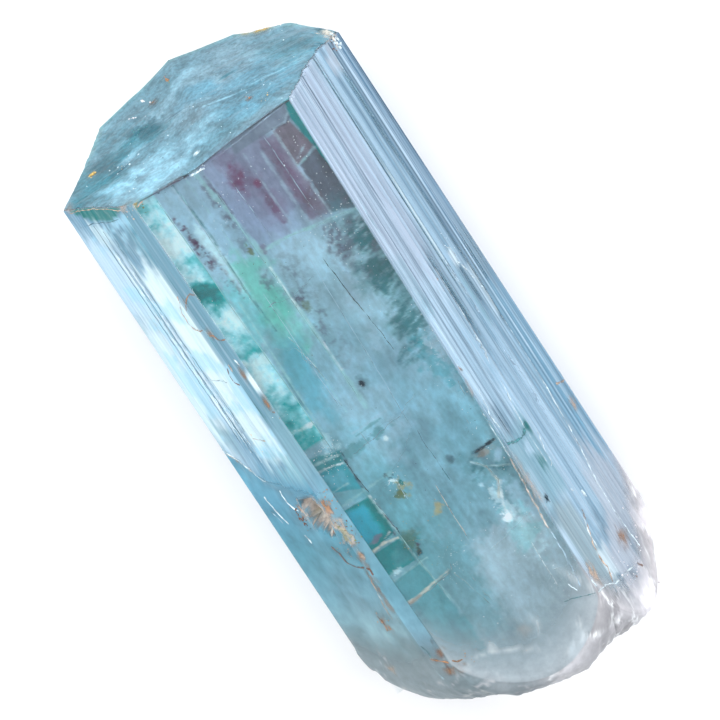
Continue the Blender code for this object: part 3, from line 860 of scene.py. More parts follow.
# ---------------------------------------------------------------------------------------------------
# The broken foot.  Its frosted, sugary crust is thin and see-through towards the left and thick, white
# and faintly pink on the right-hand corner.

FROST = (0.16, 0.21, 0.23)
PALE_FROST = (0.43, 0.435, 0.455)
SUGAR = (0.72, 0.69, 0.71)
MILKY_GREY = (0.25, 0.34, 0.38)
MILKY_PALE = (0.28, 0.32, 0.345)
WHITE = (0.96, 1.0, 1.0)
FROST_LIFT = FILM_LIFT * 1.6
FOOT_FADE = 4.0                  # how far the frost creeps up the faces from the rim of the break
MILKY_FADE = 7.0                 # how far the milkiness reaches up under the front face
CHIP_EDGE = 0.16                 # width of a chip's pale edge, as a share of the chips' spacing


def chips(places, size, seed):
    """Shell-shaped chips: each place takes the tone, from -1 to 1, of the nearest of some random
    middles, and counts as an edge, from 0 to 1, where the second nearest is about as near."""
    rng = np.random.default_rng(seed)
    low, high = places.min(axis=0), places.max(axis=0)
    middles = low + rng.random((int(np.prod((high - low) / size)), 3)) * (high - low)
    tone, edge = np.empty(len(places)), np.empty(len(places))
    tones = rng.uniform(-1, 1, len(middles))
    for part in np.array_split(np.arange(len(places)), 20):
        far = np.linalg.norm(places[part, None] - middles[None], axis=-1)
        order = np.argpartition(far, 1, axis=1)[:, :2]
        near = np.take_along_axis(far, order, axis=1)
        tone[part] = tones[order[:, 0]]
        edge[part] = np.clip(1 - (near[:, 1] - near[:, 0]) / (CHIP_EDGE * size), 0, 1)
    return tone, edge


def foot_frost_paint():
    """Frost over the whole break, thinning up the side faces, in cloudy patches with fine veins, and
    milkiness up under the front face.  Painted shade darkens the frost and thins the sugar high on the
    right-hand corner, where the break faces the lights.  Shell-shaped chips with pale edges shade the
    right-hand part strongly and the front face faintly."""
    paint = np.zeros((*rows.shape[:2], 4))
    x, y, z = rows[..., 0], rows[..., 1], rows[..., 2]
    patch = 0.5 + 0.45 * cloud(rows, 3.0, 71, 5)
    rim = foot_rim(column_faces, column_shares)[None]
    above = np.clip((x - rim) / FOOT_FADE, 0, 1)
    cover = np.where(on_foot, 1.0, (1 - above) ** 1.3) * ~on_top * np.where(side_face == FRONT, 0.3, 1.0)
    right = np.clip((-y - 1.5) / 6.0, 0, 1) * np.clip(z / 5.0, 0, 1)
    # Painted shade: less sugar high up, where the corner faces the lights.
    right = right * (1 - np.where(on_foot, 0.85, 0.7) * np.clip((z - 12.0) / 3, 0, 1))
    milky = np.clip(1 - (x - rim) / MILKY_FADE, 0, 1) * (side_face == FRONT)
    paint = over(paint, MILKY_GREY, 0.85 * milky ** 1.2)
    pale = np.clip((6.0 - y) / 6.0 + 0.4 * (patch - 0.5), 0, 1)
    frost = blend(np.array(FROST), np.array(PALE_FROST), pale[..., None])
    # Painted shade: darker frost on the upper right of the break, which faces the lights.
    corner = np.clip((z - 12.5) / 2.5, 0, 1) * np.clip((-0.5 - y) / 3, 0, 1)
    frost = frost * (1 - 0.26 * corner)[..., None]
    paint = over(paint, frost, np.clip(cover * (0.8 + 0.2 * patch), 0, 0.97))
    paint = over(paint, MILKY_PALE, 0.85 * milky ** 3)
    paint = over(paint, SUGAR, np.clip(cover * right * (0.25 + 0.75 * patch), 0, 0.9))
    vein = np.clip(1 - np.abs(cloud(rows, 2.0, 73, 3)) / 0.08, 0, 1)
    paint = over(paint, SUGAR, 0.35 * cover * vein * np.clip(0.5 + cloud(rows, 1.5, 74), 0, 1))
    rough = cover * np.clip((2.0 - y) / 5.0, 0, 1) > 0.15
    shaken = rows[rough] + 0.5 * np.stack([cloud(rows[rough], 1.2, 75 + part) for part in range(3)], axis=-1)
    tone, edge = chips(shaken, 2.2, 76)
    chipped = paint[rough]
    chipped[:, :3] *= (1 + 0.28 * tone)[:, None]
    bright = np.clip(0.4 + cloud(rows[rough], 1.0, 79), 0, 1)
    paint[rough] = over(chipped, WHITE, 0.8 * edge * cover[rough] * bright)
    shells = (side_face == FRONT) & ~on_foot & (milky > 0.05)
    tone, edge = chips(rows[shells] + 0.3 * cloud(rows[shells], 1.6, 81)[:, None], 3.0, 80)
    shell = paint[shells]
    shell[:, :3] *= (1 + 0.12 * tone * milky[shells])[:, None]
    faint = np.clip(0.1 + 1.2 * cloud(rows[shells], 1.4, 82), 0, 1)
    paint[shells] = over(shell, WHITE, 0.45 * edge * faint * milky[shells])
    return paint


film("foot_frost", foot_frost_paint(), FROST_LIFT,
     painted("sugary_frost", 0.42, 0.25, (1.2, 1.2, 1.2), 0.3, 0.35, 0.05))

# ---------------------------------------------------------------------------------------------------
# The clouds inside.  The crystal grew in layers and columns, and veils of fine droplets lie along them, just
# under the smooth front and deeper down, in greys, blues and sea greens, wine red near the top and milky at
# the foot.  Each layer is a thin wavy sheet whose colour and cover vary from place to place; the uppermost
# also carries a painted reflection, a bright band beside the left edge.

PURPLE_GREY = (0.31, 0.37, 0.52)
MAUVE = (0.29, 0.32, 0.45)
CHARCOAL = (0.11, 0.12, 0.16)
PANEL_GREY = (0.23, 0.29, 0.37)
BROWN_WINE = (0.2, 0.13, 0.16)
WINE = (0.17, 0.06, 0.13)
WINE_RED = (0.26, 0.06, 0.15)
WINE_GREY = (0.26, 0.21, 0.3)
BARK = (0.09, 0.06, 0.11)
MAROON = (0.1, 0.04, 0.09)
DARK_GREEN = (0.04, 0.19, 0.21)
BOTTLE_GREEN = (0.0, 0.22, 0.22)
WEDGE_GREEN = (0.01, 0.36, 0.36)
CELL_GREEN = (0.0, 0.28, 0.29)
SEA_GREEN = (0.2, 0.66, 0.54)
TEAL = (0.01, 0.36, 0.43)
TEAL_GREY = (0.1, 0.37, 0.42)
CELL_BLUE = (0.03, 0.42, 0.56)
AQUA = (0.2, 0.7, 0.72)
CYAN = (0.18, 0.56, 0.68)
COLUMN_BLUE = (0.38, 0.6, 0.71)
MIST = (0.52, 0.7, 0.8)
MILK = (0.7, 0.92, 0.96)
MILK_GREY = (0.47, 0.6, 0.66)
SEA_PALE = (0.4, 0.7, 0.7)
INK = (0.004, 0.03, 0.05)
OCHRE = (0.6, 0.42, 0.12)
OLIVE = (0.14, 0.17, 0.05)
CREAM = (0.85, 0.78, 0.66)
TAN = (0.48, 0.36, 0.27)

# Colour and cover of the uppermost layer along the crystal, from the foot to the top.
LAYER_X = (-26, -17, -9, -3, 4, 10, 15, 19, 25)
LAYER_COLOURS = np.array([(0.46, 0.56, 0.6), (0.34, 0.54, 0.61), (0.24, 0.52, 0.6), (0.32, 0.6, 0.7),
                          (0.42, 0.7, 0.82), (0.54, 0.79, 0.89), (0.5, 0.73, 0.84), (0.38, 0.52, 0.66),
                          (0.34, 0.48, 0.6)])
LAYER_COVER = (0.88, 0.84, 0.8, 0.8, 0.82, 0.82, 0.84, 0.88, 0.88)

# Growth columns and broken cells, each a flat-sided patch of its own tone.
FRONT_PANELS = (
    # colour, cover, softness, rag, corners (x, y)
    (COLUMN_BLUE, 0.8, 0.3, 0.1, ((25.6, 6.4), (25.4, 4.3), (14.6, 4.2), (14.2, 5.9))),
    (COLUMN_BLUE, 0.7, 0.2, 0.05, ((25.4, 4.2), (24.6, 2.2), (16.4, 1.6), (14.6, 4.1))),
    (PURPLE_GREY, 0.85, 0.2, 0.08, ((25.0, 1.9), (24.6, -0.6), (16.2, -1.2), (16.5, 1.5))),
    (MAUVE, 0.9, 0.2, 0.08, ((24.9, 1.0), (24.3, -3.6), (18.0, -4.0), (17.6, 0.2))),
    (PURPLE_GREY, 0.55, 0.6, 0.3, ((18.6, 0.6), (18.6, -4.2), (15.9, -4.4), (16.4, 0.8))),
    (WINE_GREY, 0.7, 0.16, 0.12, ((23.7, -2.8), (23.7, -4.2), (16.1, -4.4), (16.4, -2.8))),
    (BROWN_WINE, 0.8, 0.14, 0.05, ((23.8, -4.2), (23.9, -5.6), (21.2, -6.2), (20.5, -4.3))),
    (CHARCOAL, 0.85, 0.16, 0.12, ((20.4, -4.5), (20.9, -6.2), (15.1, -6.6), (16.0, -4.4))),
    (PANEL_GREY, 0.95, 0.12, 0.0, ((26.0, -1.2), (26.0, -6.0), (24.0, -5.8), (23.9, -0.8))),
    (WEDGE_GREEN, 0.95, 0.12, 0.04, ((25.6, -6.15), (25.4, -7.4), (18.4, -7.0), (18.4, -6.38), (23.9, -5.8))),
    (CELL_GREEN, 0.8, 0.2, 0.1, ((0.4, 7.4), (-0.3, 4.9), (-1.2, 5.1), (-0.8, 7.4))),
    (TEAL, 0.85, 0.14, 0.04, ((-0.9, 7.4), (-1.3, 5.1), (-3.95, 5.1), (-2.8, 7.4))),
    (CYAN, 0.55, 0.3, 0.1, ((-1.4, 7.0), (-1.8, 5.6), (-3.2, 5.7), (-2.5, 7.0))),
    (TEAL_GREY, 0.55, 0.3, 0.1, ((-2.9, 7.4), (-3.9, 5.1), (-4.7, 4.9), (-4.2, 7.4))),
    (CELL_GREEN, 1.0, 0.12, 0.02, ((-4.6, 7.4), (-4.8, 4.85), (-8.3, 4.9), (-8.8, 7.4))),
    (CELL_BLUE, 0.95, 0.5, 0.12, ((-4.9, 7.2), (-5.0, 5.7), (-7.7, 5.7), (-8.0, 7.2))),
    (CELL_GREEN, 0.95, 0.12, 0.05, ((-8.95, 7.4), (-8.95, 4.9), (-11.2, 4.7), (-11.0, 7.4))),
    (TEAL_GREY, 0.6, 0.5, 0.1, ((-9.8, 6.0), (-9.3, 4.9), (-11.1, 4.7), (-10.9, 6.4))),
    (TEAL_GREY, 0.9, 0.14, 0.05, ((-11.7, 7.4), (-11.5, 4.6), (-13.6, 4.35), (-13.8, 7.4))),
    (TEAL_GREY, 0.75, 0.3, 0.15, ((-14.0, 7.4), (-13.6, 4.3), (-22.0, 3.8), (-22.0, 7.4))),
    (TEAL_GREY, 0.4, 1.2, 0.4, ((-10.0, 4.6), (-11.0, 1.0), (-20.0, 1.6), (-19.0, 4.4))),
    (MILK_GREY, 0.75, 1.6, 0.5, ((-13.0, 0.6), (-12.0, -5.4), (-24.0, -5.4), (-24.0, 1.5))),
)

# Clouds, stains and dark or bright inclusions in that layer.
FRONT_SPOTS = (
    # colour, cover, centre (x, y), half sizes, turn, rag, soft, square
    (MIST, 0.55, (12.6, -0.6), (3.4, 2.4), 0, 0.45, 0.9, 2),
    (MIST, 0.6, (14.8, -1.0), (1.6, 1.8), 0, 0.45, 0.9, 2),
    (SEA_GREEN, 0.8, (13.4, 3.2), (4.0, 1.3), -2, 0.45, 0.9, 2),
    (SEA_GREEN, 0.6, (10.2, 3.2), (3.0, 1.3), -10, 0.45, 0.9, 2),
    (AQUA, 0.6, (13.2, 5.0), (2.4, 0.8), 0, 0.45, 0.9, 2),
    (WINE, 0.85, (22.55, -0.08), (0.7, 0.42), -10, 0.6, 1.2, 2),
    (WINE, 0.8, (21.75, 0.1), (0.55, 0.34), -10, 0.6, 1.2, 2),
    (WINE, 0.45, (22.3, -0.2), (1.4, 0.8), -10, 0.6, 1.2, 2),
    (WINE_RED, 0.9, (21.05, -1.05), (0.34, 0.26), 0, 0.4, 1.0, 2),
    (WINE, 0.7, (18.9, -1.08), (1.8, 0.24), 1, 0.4, 1.0, 3),
    (WINE, 0.3, (19.2, -1.2), (2.0, 0.6), 1, 0.6, 1.2, 2),
    (WINE, 0.35, (21.6, -3.6), (1.8, 0.6), 0, 0.6, 1.1, 2),
    (WINE, 0.4, (18.4, -3.4), (2.4, 0.4), 0, 0.6, 1.1, 2),
    (BROWN_WINE, 0.5, (17.2, -3.9), (1.4, 0.5), 0, 0.6, 1.1, 2),
    (WINE, 0.3, (24.3, 0.1), (0.9, 0.7), 0, 0.6, 1.1, 2),
    (BARK, 0.6, (21.9, 2.25), (2.3, 0.34), 3, 0.5, 1.0, 3),
    (BARK, 0.45, (18.4, 2.2), (1.6, 0.45), 0, 0.7, 1.1, 2),
    (MAROON, 0.95, (20.4, 5.38), (1.6, 0.2), 8, 0.6, 1.0, 2),
    (MAROON, 0.9, (18.4, 5.2), (2.0, 0.26), 6, 0.6, 1.0, 2),
    (MAROON, 0.7, (17.9, 4.95), (1.9, 0.42), 6, 0.9, 1.1, 2),
    (MILK, 0.85, (19.2, 4.5), (2.2, 0.38), 4, 0.3, 1.0, 2),
    (MILK, 0.5, (16.2, 4.3), (2.0, 0.35), 4, 0.3, 1.0, 2),
    (WINE_GREY, 0.7, (16.4, 1.35), (0.4, 0.28), 0, 0.5, 0.5, 2),
    (OLIVE, 0.8, (16.9, 2.2), (0.45, 0.25), 0, 0.8, 0.5, 2),
    (BARK, 0.6, (13.9, 2.35), (1.2, 0.45), -8, 0.7, 1.1, 2),
    (BARK, 0.35, (13.6, 0.5), (1.2, 0.9), 0, 0.8, 1.1, 2),
    (BARK, 0.4, (12.0, 0.7), (1.5, 0.8), 0, 0.8, 1.1, 2),
    (BARK, 0.75, (11.3, 1.1), (0.75, 0.36), 0, 0.7, 0.95, 2),
    (OLIVE, 0.6, (10.7, 1.0), (0.45, 0.3), 0, 0.7, 0.95, 2),
    (BARK, 0.65, (8.9, 0.8), (0.9, 0.4), -16, 0.7, 0.95, 2),
    (BARK, 0.5, (6.0, 0.7), (1.7, 0.55), -16, 0.7, 1.1, 2),
    (TEAL_GREY, 0.55, (9.5, -5.3), (6.0, 1.5), -4, 0.5, 1.2, 2),
    (DARK_GREEN, 0.55, (10.6, -5.3), (5.0, 1.5), -4, 0.7, 1.1, 2),
    (BARK, 0.7, (14.2, -3.6), (1.6, 0.5), -12, 0.8, 1.1, 2),
    (BARK, 0.45, (12.6, -3.1), (0.9, 0.5), -12, 0.8, 1.1, 2),
    (CHARCOAL, 0.8, (12.6, -5.2), (2.5, 1.2), -10, 0.6, 1.0, 2),
    (DARK_GREEN, 0.85, (9.3, -5.2), (1.7, 1.1), 0, 0.7, 1.0, 2),
    (DARK_GREEN, 0.8, (5.8, -4.9), (1.9, 1.1), 0, 0.7, 1.0, 2),
    (DARK_GREEN, 0.8, (3.1, -3.3), (0.9, 1.0), 0, 0.6, 0.9, 2),
    (DARK_GREEN, 0.9, (13.0, -5.6), (1.4, 0.8), 0, 0.7, 1.0, 2),
    (DARK_GREEN, 0.9, (9.2, -5.2), (1.5, 0.8), 0, 0.7, 1.0, 2),
    (DARK_GREEN, 0.7, (5.0, -4.8), (2.0, 0.8), 0, 0.7, 1.0, 2),
    (TEAL, 0.5, (1.4, -4.8), (1.4, 0.7), 12, 0.9, 0.9, 2),
    (MIST, 0.65, (2.6, -5.7), (1.3, 0.5), 0, 0.9, 0.7, 2),
    (MIST, 0.45, (9.6, -2.4), (3.8, 0.6), -6, 0.6, 0.8, 2),
    (MIST, 0.55, (1.2, 1.6), (4.0, 1.7), -8, 0.5, 1.0, 2),
    (CYAN, 0.85, (6.0, 4.2), (3.4, 1.0), -6, 0.25, 0.9, 3),
    (TEAL_GREY, 0.4, (9.6, 4.4), (1.6, 0.8), -6, 0.45, 0.9, 2),
    (CYAN, 0.25, (-2.6, -3.6), (3.6, 2.0), 0, 0.6, 0.9, 2),
    (INK, 0.45, (3.25, 0.75), (0.55, 0.48), 0, 0.4, 0.9, 2),
    (INK, 1.0, (3.15, 0.7), (0.26, 0.22), 0, 0.4, 0.4, 2),
    (WHITE, 0.9, (-1.6, 1.5), (0.2, 0.16), 0, 0.4, 0.8, 2),
    (MILK, 0.6, (0.6, 5.6), (0.9, 0.6), 0, 0.9, 0.9, 2),
    (BOTTLE_GREEN, 0.45, (-0.9, 4.0), (0.35, 2.6), 3, 0.8, 0.9, 2),
    (BOTTLE_GREEN, 0.8, (-6.7, 5.15), (1.7, 0.34), 4, 0.3, 0.9, 3),
    (WINE_GREY, 0.75, (-7.9, 6.2), (0.16, 0.42), 25, 0.9, 0.8, 2),
    (BARK, 0.7, (-8.3, 5.1), (0.35, 0.4), 20, 0.55, 0.95, 2),
    (CELL_GREEN, 0.5, (-9.6, 4.4), (0.9, 0.8), 0, 0.6, 1.1, 2),
    (BARK, 0.9, (-10.2, 3.95), (0.3, 0.16), 20, 0.6, 0.95, 2),
    (INK, 0.9, (-10.8, 4.1), (0.3, 0.18), 0, 0.6, 0.95, 2),
    (OLIVE, 0.5, (-9.9, 4.2), (0.9, 0.5), 0, 0.8, 0.9, 2),
    (MILK, 0.85, (-11.15, 6.35), (0.22, 0.5), 0, 0.8, 0.6, 2),
    (OCHRE, 0.7, (-8.8, 1.2), (0.32, 0.24), 0, 1.1, 1.3, 2),
    (OCHRE, 0.65, (-5.6, 2.8), (0.65, 0.45), 0, 1.0, 0.9, 2),
    (INK, 0.9, (-4.3, 3.0), (0.36, 0.22), 30, 0.8, 0.5, 2),
    (OLIVE, 0.8, (-5.9, 2.9), (0.36, 0.24), 20, 0.8, 0.5, 2),
    (WHITE, 1.0, (-4.8, 2.8), (0.4, 0.12), 50, 0.5, 0.3, 2),
    (BOTTLE_GREEN, 0.95, (-5.15, 2.4), (0.3, 0.18), 0, 0.4, 0.5, 2),
    (DARK_GREEN, 0.8, (-8.1, -3.0), (0.7, 0.6), 10, 0.7, 1.1, 2),
    (DARK_GREEN, 0.85, (-8.7, -4.8), (0.6, 0.4), 20, 0.7, 1.0, 2),
    (DARK_GREEN, 0.75, (-7.0, -3.6), (0.6, 0.5), 0, 0.6, 1.0, 2),
    (TAN, 0.6, (-6.95, -4.1), (0.3, 0.6), 0, 0.7, 0.9, 2),
    (COLUMN_BLUE, 0.8, (-7.7, -4.95), (0.55, 0.3), -40, 0.2, 0.5, 4),
    (INK, 0.6, (-5.8, -1.75), (0.34, 0.28), 0, 0.52, 0.95, 2),
    (DARK_GREEN, 0.45, (-7.2, -2.6), (1.0, 0.6), 0, 0.7, 1.1, 2),
    (TEAL, 0.5, (-3.0, -6.2), (1.4, 0.3), 6, 0.9, 0.9, 2),
    (COLUMN_BLUE, 0.7, (-11.4, -4.5), (1.7, 0.7), 12, 0.6, 1.0, 2),
    (MILK, 0.6, (-10.9, -3.2), (1.3, 0.4), 10, 0.9, 1.0, 2),
    (WHITE, 1.0, (-12.3, -2.95), (0.45, 0.28), 0, 0.7, 0.6, 2),
    (MILK, 0.45, (-14.3, -3.5), (1.4, 0.6), 0, 1.0, 1.1, 2),
    (AQUA, 0.35, (-14.0, -3.4), (1.6, 0.9), 0, 0.8, 1.1, 2),
)

# How much of a spot's cover fine grain, or feathering across the crystal, takes away.
BREAKING = {BARK: 1.0, MAROON: 1.0, WINE: 0.4, WINE_RED: 0.3, CHARCOAL: 1.0, DARK_GREEN: 1.0}

# Broad differences of tone over all the clouds: clearer and bluer on the left, milkier low on the right.
FRONT_TONES = (
    # how much of red, green and blue is left, centre (x, y), half sizes
    ((0.77, 0.88, 0.89), (9.0, 1.6), (8.5, 4.4)),
    ((0.7, 0.88, 0.87), (-6.0, 3.8), (6.0, 2.6)),
    ((0.84, 0.84, 0.86), (16.5, -4.8), (2.0, 1.6)),
    ((1.28, 1.21, 1.22), (-9.6, -1.9), (4.3, 3.4)),
)

# Fine lines where columns and cells meet.
SEAM_SOFTNESS = 0.09
FRONT_SEAMS = (
    # colour, cover, half width, route of (x, y)
    (SEA_PALE, 0.85, 0.14, ((15.1, -6.5), (15.8, -2.8), (16.2, -1.1), (16.4, 1.1))),
    (SEA_PALE, 0.7, 0.17, ((25.0, 2.5), (20.4, 1.95), (16.8, 1.6), (14.0, 1.7), (11.1, 1.6), (9.0, 1.5),
      (1.5, 1.4))),
    (WHITE, 0.75, 0.05, ((15.0, 1.66), (11.1, 1.56), (9.0, 1.46), (5.0, 1.4))),
    (BARK, 0.55, 0.06, ((23.9, 2.0), (20.2, 1.75))), (MIST, 0.55, 0.11, ((23.8, -4.2), (15.9, -4.45))),
    (MIST, 0.5, 0.1, ((23.0, -2.57), (16.4, -2.63))),
    (MIST, 0.4, 0.07, ((23.6, -1.4), (20.2, -1.45), (17.0, -1.5))),
    (SEA_PALE, 0.8, 0.08, ((20.5, -4.3), (21.0, -6.1))), (MIST, 0.7, 0.06, ((21.0, -4.6), (21.6, -5.6))),
    (CHARCOAL, 0.8, 0.08, ((24.0, -4.2), (23.75, -5.3), (24.1, -5.8))),
    (MIST, 0.7, 0.05, ((24.0, -4.3), (23.9, -5.3), (24.4, -5.8))),
    (DARK_GREEN, 0.8, 0.06, ((25.0, 4.35), (19.7, 4.05), (14.85, 4.15), (10.5, 3.9))),
    (MIST, 0.7, 0.07, ((25.0, 4.5), (19.7, 4.2), (14.85, 4.3))),
    (SEA_PALE, 0.45, 0.06, ((24.6, 3.3), (16.0, 3.0))),
    (SEA_PALE, 0.5, 0.05, ((14.4, 3.0), (9.0, 2.9), (2.0, 2.9))),
    (DARK_GREEN, 0.75, 0.06, ((7.4, 5.3), (3.25, 5.36), (1.1, 5.4))),
    (SEA_PALE, 0.7, 0.06, ((14.0, 5.05), (7.4, 5.16), (1.2, 5.2))),
    (WHITE, 0.85, 0.16, ((2.95, 7.3), (2.75, 6.3), (2.7, 5.5))),
    (WHITE, 0.9, 0.13, ((-0.9, 7.2), (-1.1, 6.0), (-1.35, 5.2))),
    (MILK, 0.5, 0.1, ((-0.3, 6.9), (-0.6, 5.2))), (INK, 0.8, 0.05, ((-0.4, 4.85), (-1.6, 5.0))),
    (INK, 0.9, 0.07, ((-1.9, 5.0), (-3.9, 5.05))), (SEA_PALE, 0.8, 0.06, ((-2.85, 7.2), (-2.95, 5.8))),
    (SEA_PALE, 0.55, 0.15, ((-4.25, 7.3), (-4.2, 5.2), (-4.05, 2.6))),
    (WHITE, 0.8, 0.05, ((-4.75, 4.95), (-8.3, 4.72))), (INK, 0.8, 0.05, ((-5.6, 4.85), (-8.2, 4.6))),
    (CREAM, 0.9, 0.09, ((-8.75, 7.2), (-8.6, 6.1), (-8.85, 4.9))),
    (WHITE, 0.6, 0.05, ((-8.5, 6.2), (-8.1, 5.2))), (SEA_PALE, 0.75, 0.07, ((-11.65, 7.2), (-11.5, 3.9))),
    (CREAM, 0.9, 0.08, ((-13.85, 7.2), (-13.75, 5.6), (-13.5, 4.2), (-13.35, 3.0))),
    (TAN, 0.8, 0.09, ((-13.95, 7.2), (-13.85, 5.9))),
    (SEA_PALE, 0.55, 0.06, ((-3.9, 5.1), (-8.3, 4.85), (-11.2, 4.6), (-16.5, 3.95))),
    (INK, 1.0, 0.13, ((-6.5, -3.35), (-6.5, -5.3))),
    (MILK, 0.8, 0.07, ((-7.0, -2.9), (-7.9, -3.7), (-8.3, -4.3), (-8.9, -5.3))),
    (CREAM, 0.75, 0.1, ((-7.9, -3.7), (-9.4, -3.9), (-10.6, -3.2))),
    (WHITE, 0.8, 0.08, ((-9.6, -4.0), (-10.6, -3.5), (-12.1, -3.0))),
    (DARK_GREEN, 0.55, 0.1, ((-7.6, -3.4), (-8.6, -4.4), (-8.9, -5.4))),
    (MIST, 0.55, 0.1, ((0.2, 3.4), (0.3, 0.3))), (BOTTLE_GREEN, 0.45, 0.08, ((-0.1, 3.3), (0.0, 1.0))),
    (OLIVE, 0.6, 0.05, ((-12.5, 3.6), (-12.0, 3.0))),
)

# The bright band beside the left edge is a painted reflection of the left faces and the lights, seen inside
# the crystal: how light it is along its length, the colours from deep green over aqua at 0 to white at 1, and
# how far to the right it reaches.
REFLECTION_BAND_X = (1.0, 2.3, 2.9, 5.0, 6.4, 7.6, 9.3, 9.8, 10.6, 12.4, 13.6, 14.6, 15.6, 16.8, 18.2, 19.6, 21.4,
          22.6, 25.0)
REFLECTION_BAND_LIGHT = (-0.4, -0.2, -0.1, -0.3, 0.6, 0.75, 0.8, -0.5, 0.1, 0.65, 0.3, -0.7, -1.0, 0.7, 0.1, 1.1, 0.8,
              0.3, 0.3)
REFLECTION_BAND_RIGHT = (5.35, 5.92)        # its right-hand limit where it begins and at the top
REFLECTION_BAND_WIDTH = 1.7
REFLECTION_BAND_STOPS = (-1.2, -0.6, 0.0, 0.5, 1.0)
REFLECTION_BAND_COLOURS = np.array([BOTTLE_GREEN, (0.0, 0.42, 0.42), (0.22, 0.66, 0.7), (0.55, 0.9, 0.95),
                         (0.82, 1.0, 1.0)])

# The front face's left and right edges at the foot, and the width over which a layer fades out there.
FOOT_EDGES = (7.1, -6.0)
LAYER_FADE = 0.25
FRONT_STEP, DEEP_STEP = 0.1, 0.3       # spacing of the points in the uppermost and the deeper layers


def layer_grid(x_from, x_to, right, left, step):
    """Places along and across of an even grid."""
    x = np.linspace(x_from, x_to, int((x_to - x_from) / step) + 1)
    y = np.linspace(right, left, int((left - right) / step) + 1)
    return np.meshgrid(x, y, indexing="ij")


def layer_piece(name, x, y, z, paint, material):
    """A sheet over an even grid, without the squares that its paint leaves bare."""
    points = np.stack([x, y, z], axis=-1)
    number = np.arange(x.size).reshape(x.shape)
    quads = np.stack([number[:-1, :-1], number[1:, :-1], number[1:, 1:], number[:-1, 1:]], axis=-1)
    kept = paint[..., 3] > BARE
    quads = quads[kept[:-1, :-1] | kept[1:, :-1] | kept[1:, 1:] | kept[:-1, 1:]]
    used, renumbered = np.unique(quads, return_inverse=True)
    painted_piece(name, points.reshape(-1, 3)[used], renumbered.reshape(-1, 4),
                  paint.reshape(-1, 4)[used], material)


def front_limits(x, depth):
    """How far the crystal reaches to the right and to the left at a depth under the front face."""
    edges = [section(np.full(x.shape, face), np.full(x.shape, share), x)
             for face, share in ((RIGHT, 0.0), (RIGHT, 1.0), (LEFT, 1.0), (LEFT, 0.0))]
    front, right, strip, left = ((edge[..., 0], edge[..., 1]) for edge in edges)
    z = DEPTH - depth
    to_right = blend(front[0], right[0], (DEPTH - z) / (DEPTH - right[1]))
    to_left = blend(strip[0], left[0], (strip[1] - z) / (strip[1] - left[1]))
    return to_right, to_left


def within(x, y, depth, z, margin=0.1):
    """1 well inside the crystal's outline at this depth and 0 outside, with a short fade between."""
    right, left = front_limits(x, depth)
    share = np.clip((y - FOOT_EDGES[0]) / (FOOT_EDGES[1] - FOOT_EDGES[0]), 0.02, 0.98)
    low = foot_rim(FRONT, share) - 0.5 * depth
    high = top_height(y, z) - 0.15
    room = np.minimum(np.minimum(y - right, left - y), np.minimum(x - low, high - x)) - margin
    return np.clip(room / LAYER_FADE, 0, 1)


def panel(x, y, corners, soft, rag, seed):
    """Cover from 0 to 1 inside an outline of corners that bulges nowhere inwards: how far inside its
    nearest side a place lies, roughened by noise, over the softness."""
    corners = np.array(corners)
    run = np.roll(corners, -1, axis=0) - corners
    aside = np.stack([-run[:, 1], run[:, 0]], axis=1) / np.hypot(*run.T)[:, None]
    aside *= np.sign(((corners.mean(axis=0) - corners) * aside).sum(axis=1))[:, None]
    sides = [(x - corner[0]) * way[0] + (y - corner[1]) * way[1] for corner, way in zip(corners, aside)]
    room = np.min(sides, axis=0) + rag * cloud(np.stack([x, y], axis=-1), 0.7, seed)
    return eased(np.clip(room / soft + 0.5, 0, 1))


def seam(x, y, half, route, seed):
    """Cover from 0 to 1 of a fine line along a route: by the distance to its nearest stretch, with a
    width that noise varies."""
    nearest = np.full(x.shape, 99.0)
    for start, end in itertools.pairwise(np.array(route)):
        run = end - start
        share = np.clip(((x - start[0]) * run[0] + (y - start[1]) * run[1]) / (run @ run), 0, 1)
        nearest = np.minimum(nearest, np.hypot(x - start[0] - share * run[0], y - start[1] - share * run[1]))
    place = np.stack([x, y], axis=-1)
    wide = half * (1 + 0.5 * cloud(place, 0.9, seed)) + 0.04 * cloud(place, 0.35, seed + 1)
    return np.clip((wide - nearest) / SEAM_SOFTNESS + 0.5, 0, 1)


def reflection_band_tone(x, y, place):
    """Colour and cover of the bright band beside the left edge, a painted reflection: its lightness along the
    length is bent by noise into waves and flecked with finer noise."""
    right = np.interp(x, (REFLECTION_BAND_X[0], REFLECTION_BAND_X[-1]), REFLECTION_BAND_RIGHT)
    across = (y - right) / REFLECTION_BAND_WIDTH
    bent = x - 0.8 * across + 0.7 * cloud(place * np.array([0.6, 1.0]), 1.4, 301)
    light = np.interp(bent, REFLECTION_BAND_X, REFLECTION_BAND_LIGHT) + 0.55 * cloud(place, 0.9, 300, 5)
    light = light - 0.25 * (across - 0.5) ** 2
    light = light + 0.5 * np.clip(cloud(place * np.array([0.5, 1.0]), 0.8, 303) - 0.3, 0, 1)
    cover = 0.96 * np.clip((y - right) / 0.1 + 0.5, 0, 1) * np.clip((x - REFLECTION_BAND_X[0]) / 0.3, 0, 1)
    return colour_at(light, REFLECTION_BAND_STOPS, REFLECTION_BAND_COLOURS), cover


def over_mix(paint, colour, cover):
    """Turns a paint towards a colour, and its cover towards full, by a cover from 0 to 1."""
    cover = np.clip(cover, 0, 1)[..., None]
    return np.concatenate([blend(paint[..., :3], np.asarray(colour), cover),
                           blend(paint[..., 3:], 1.0, cover)], axis=-1)


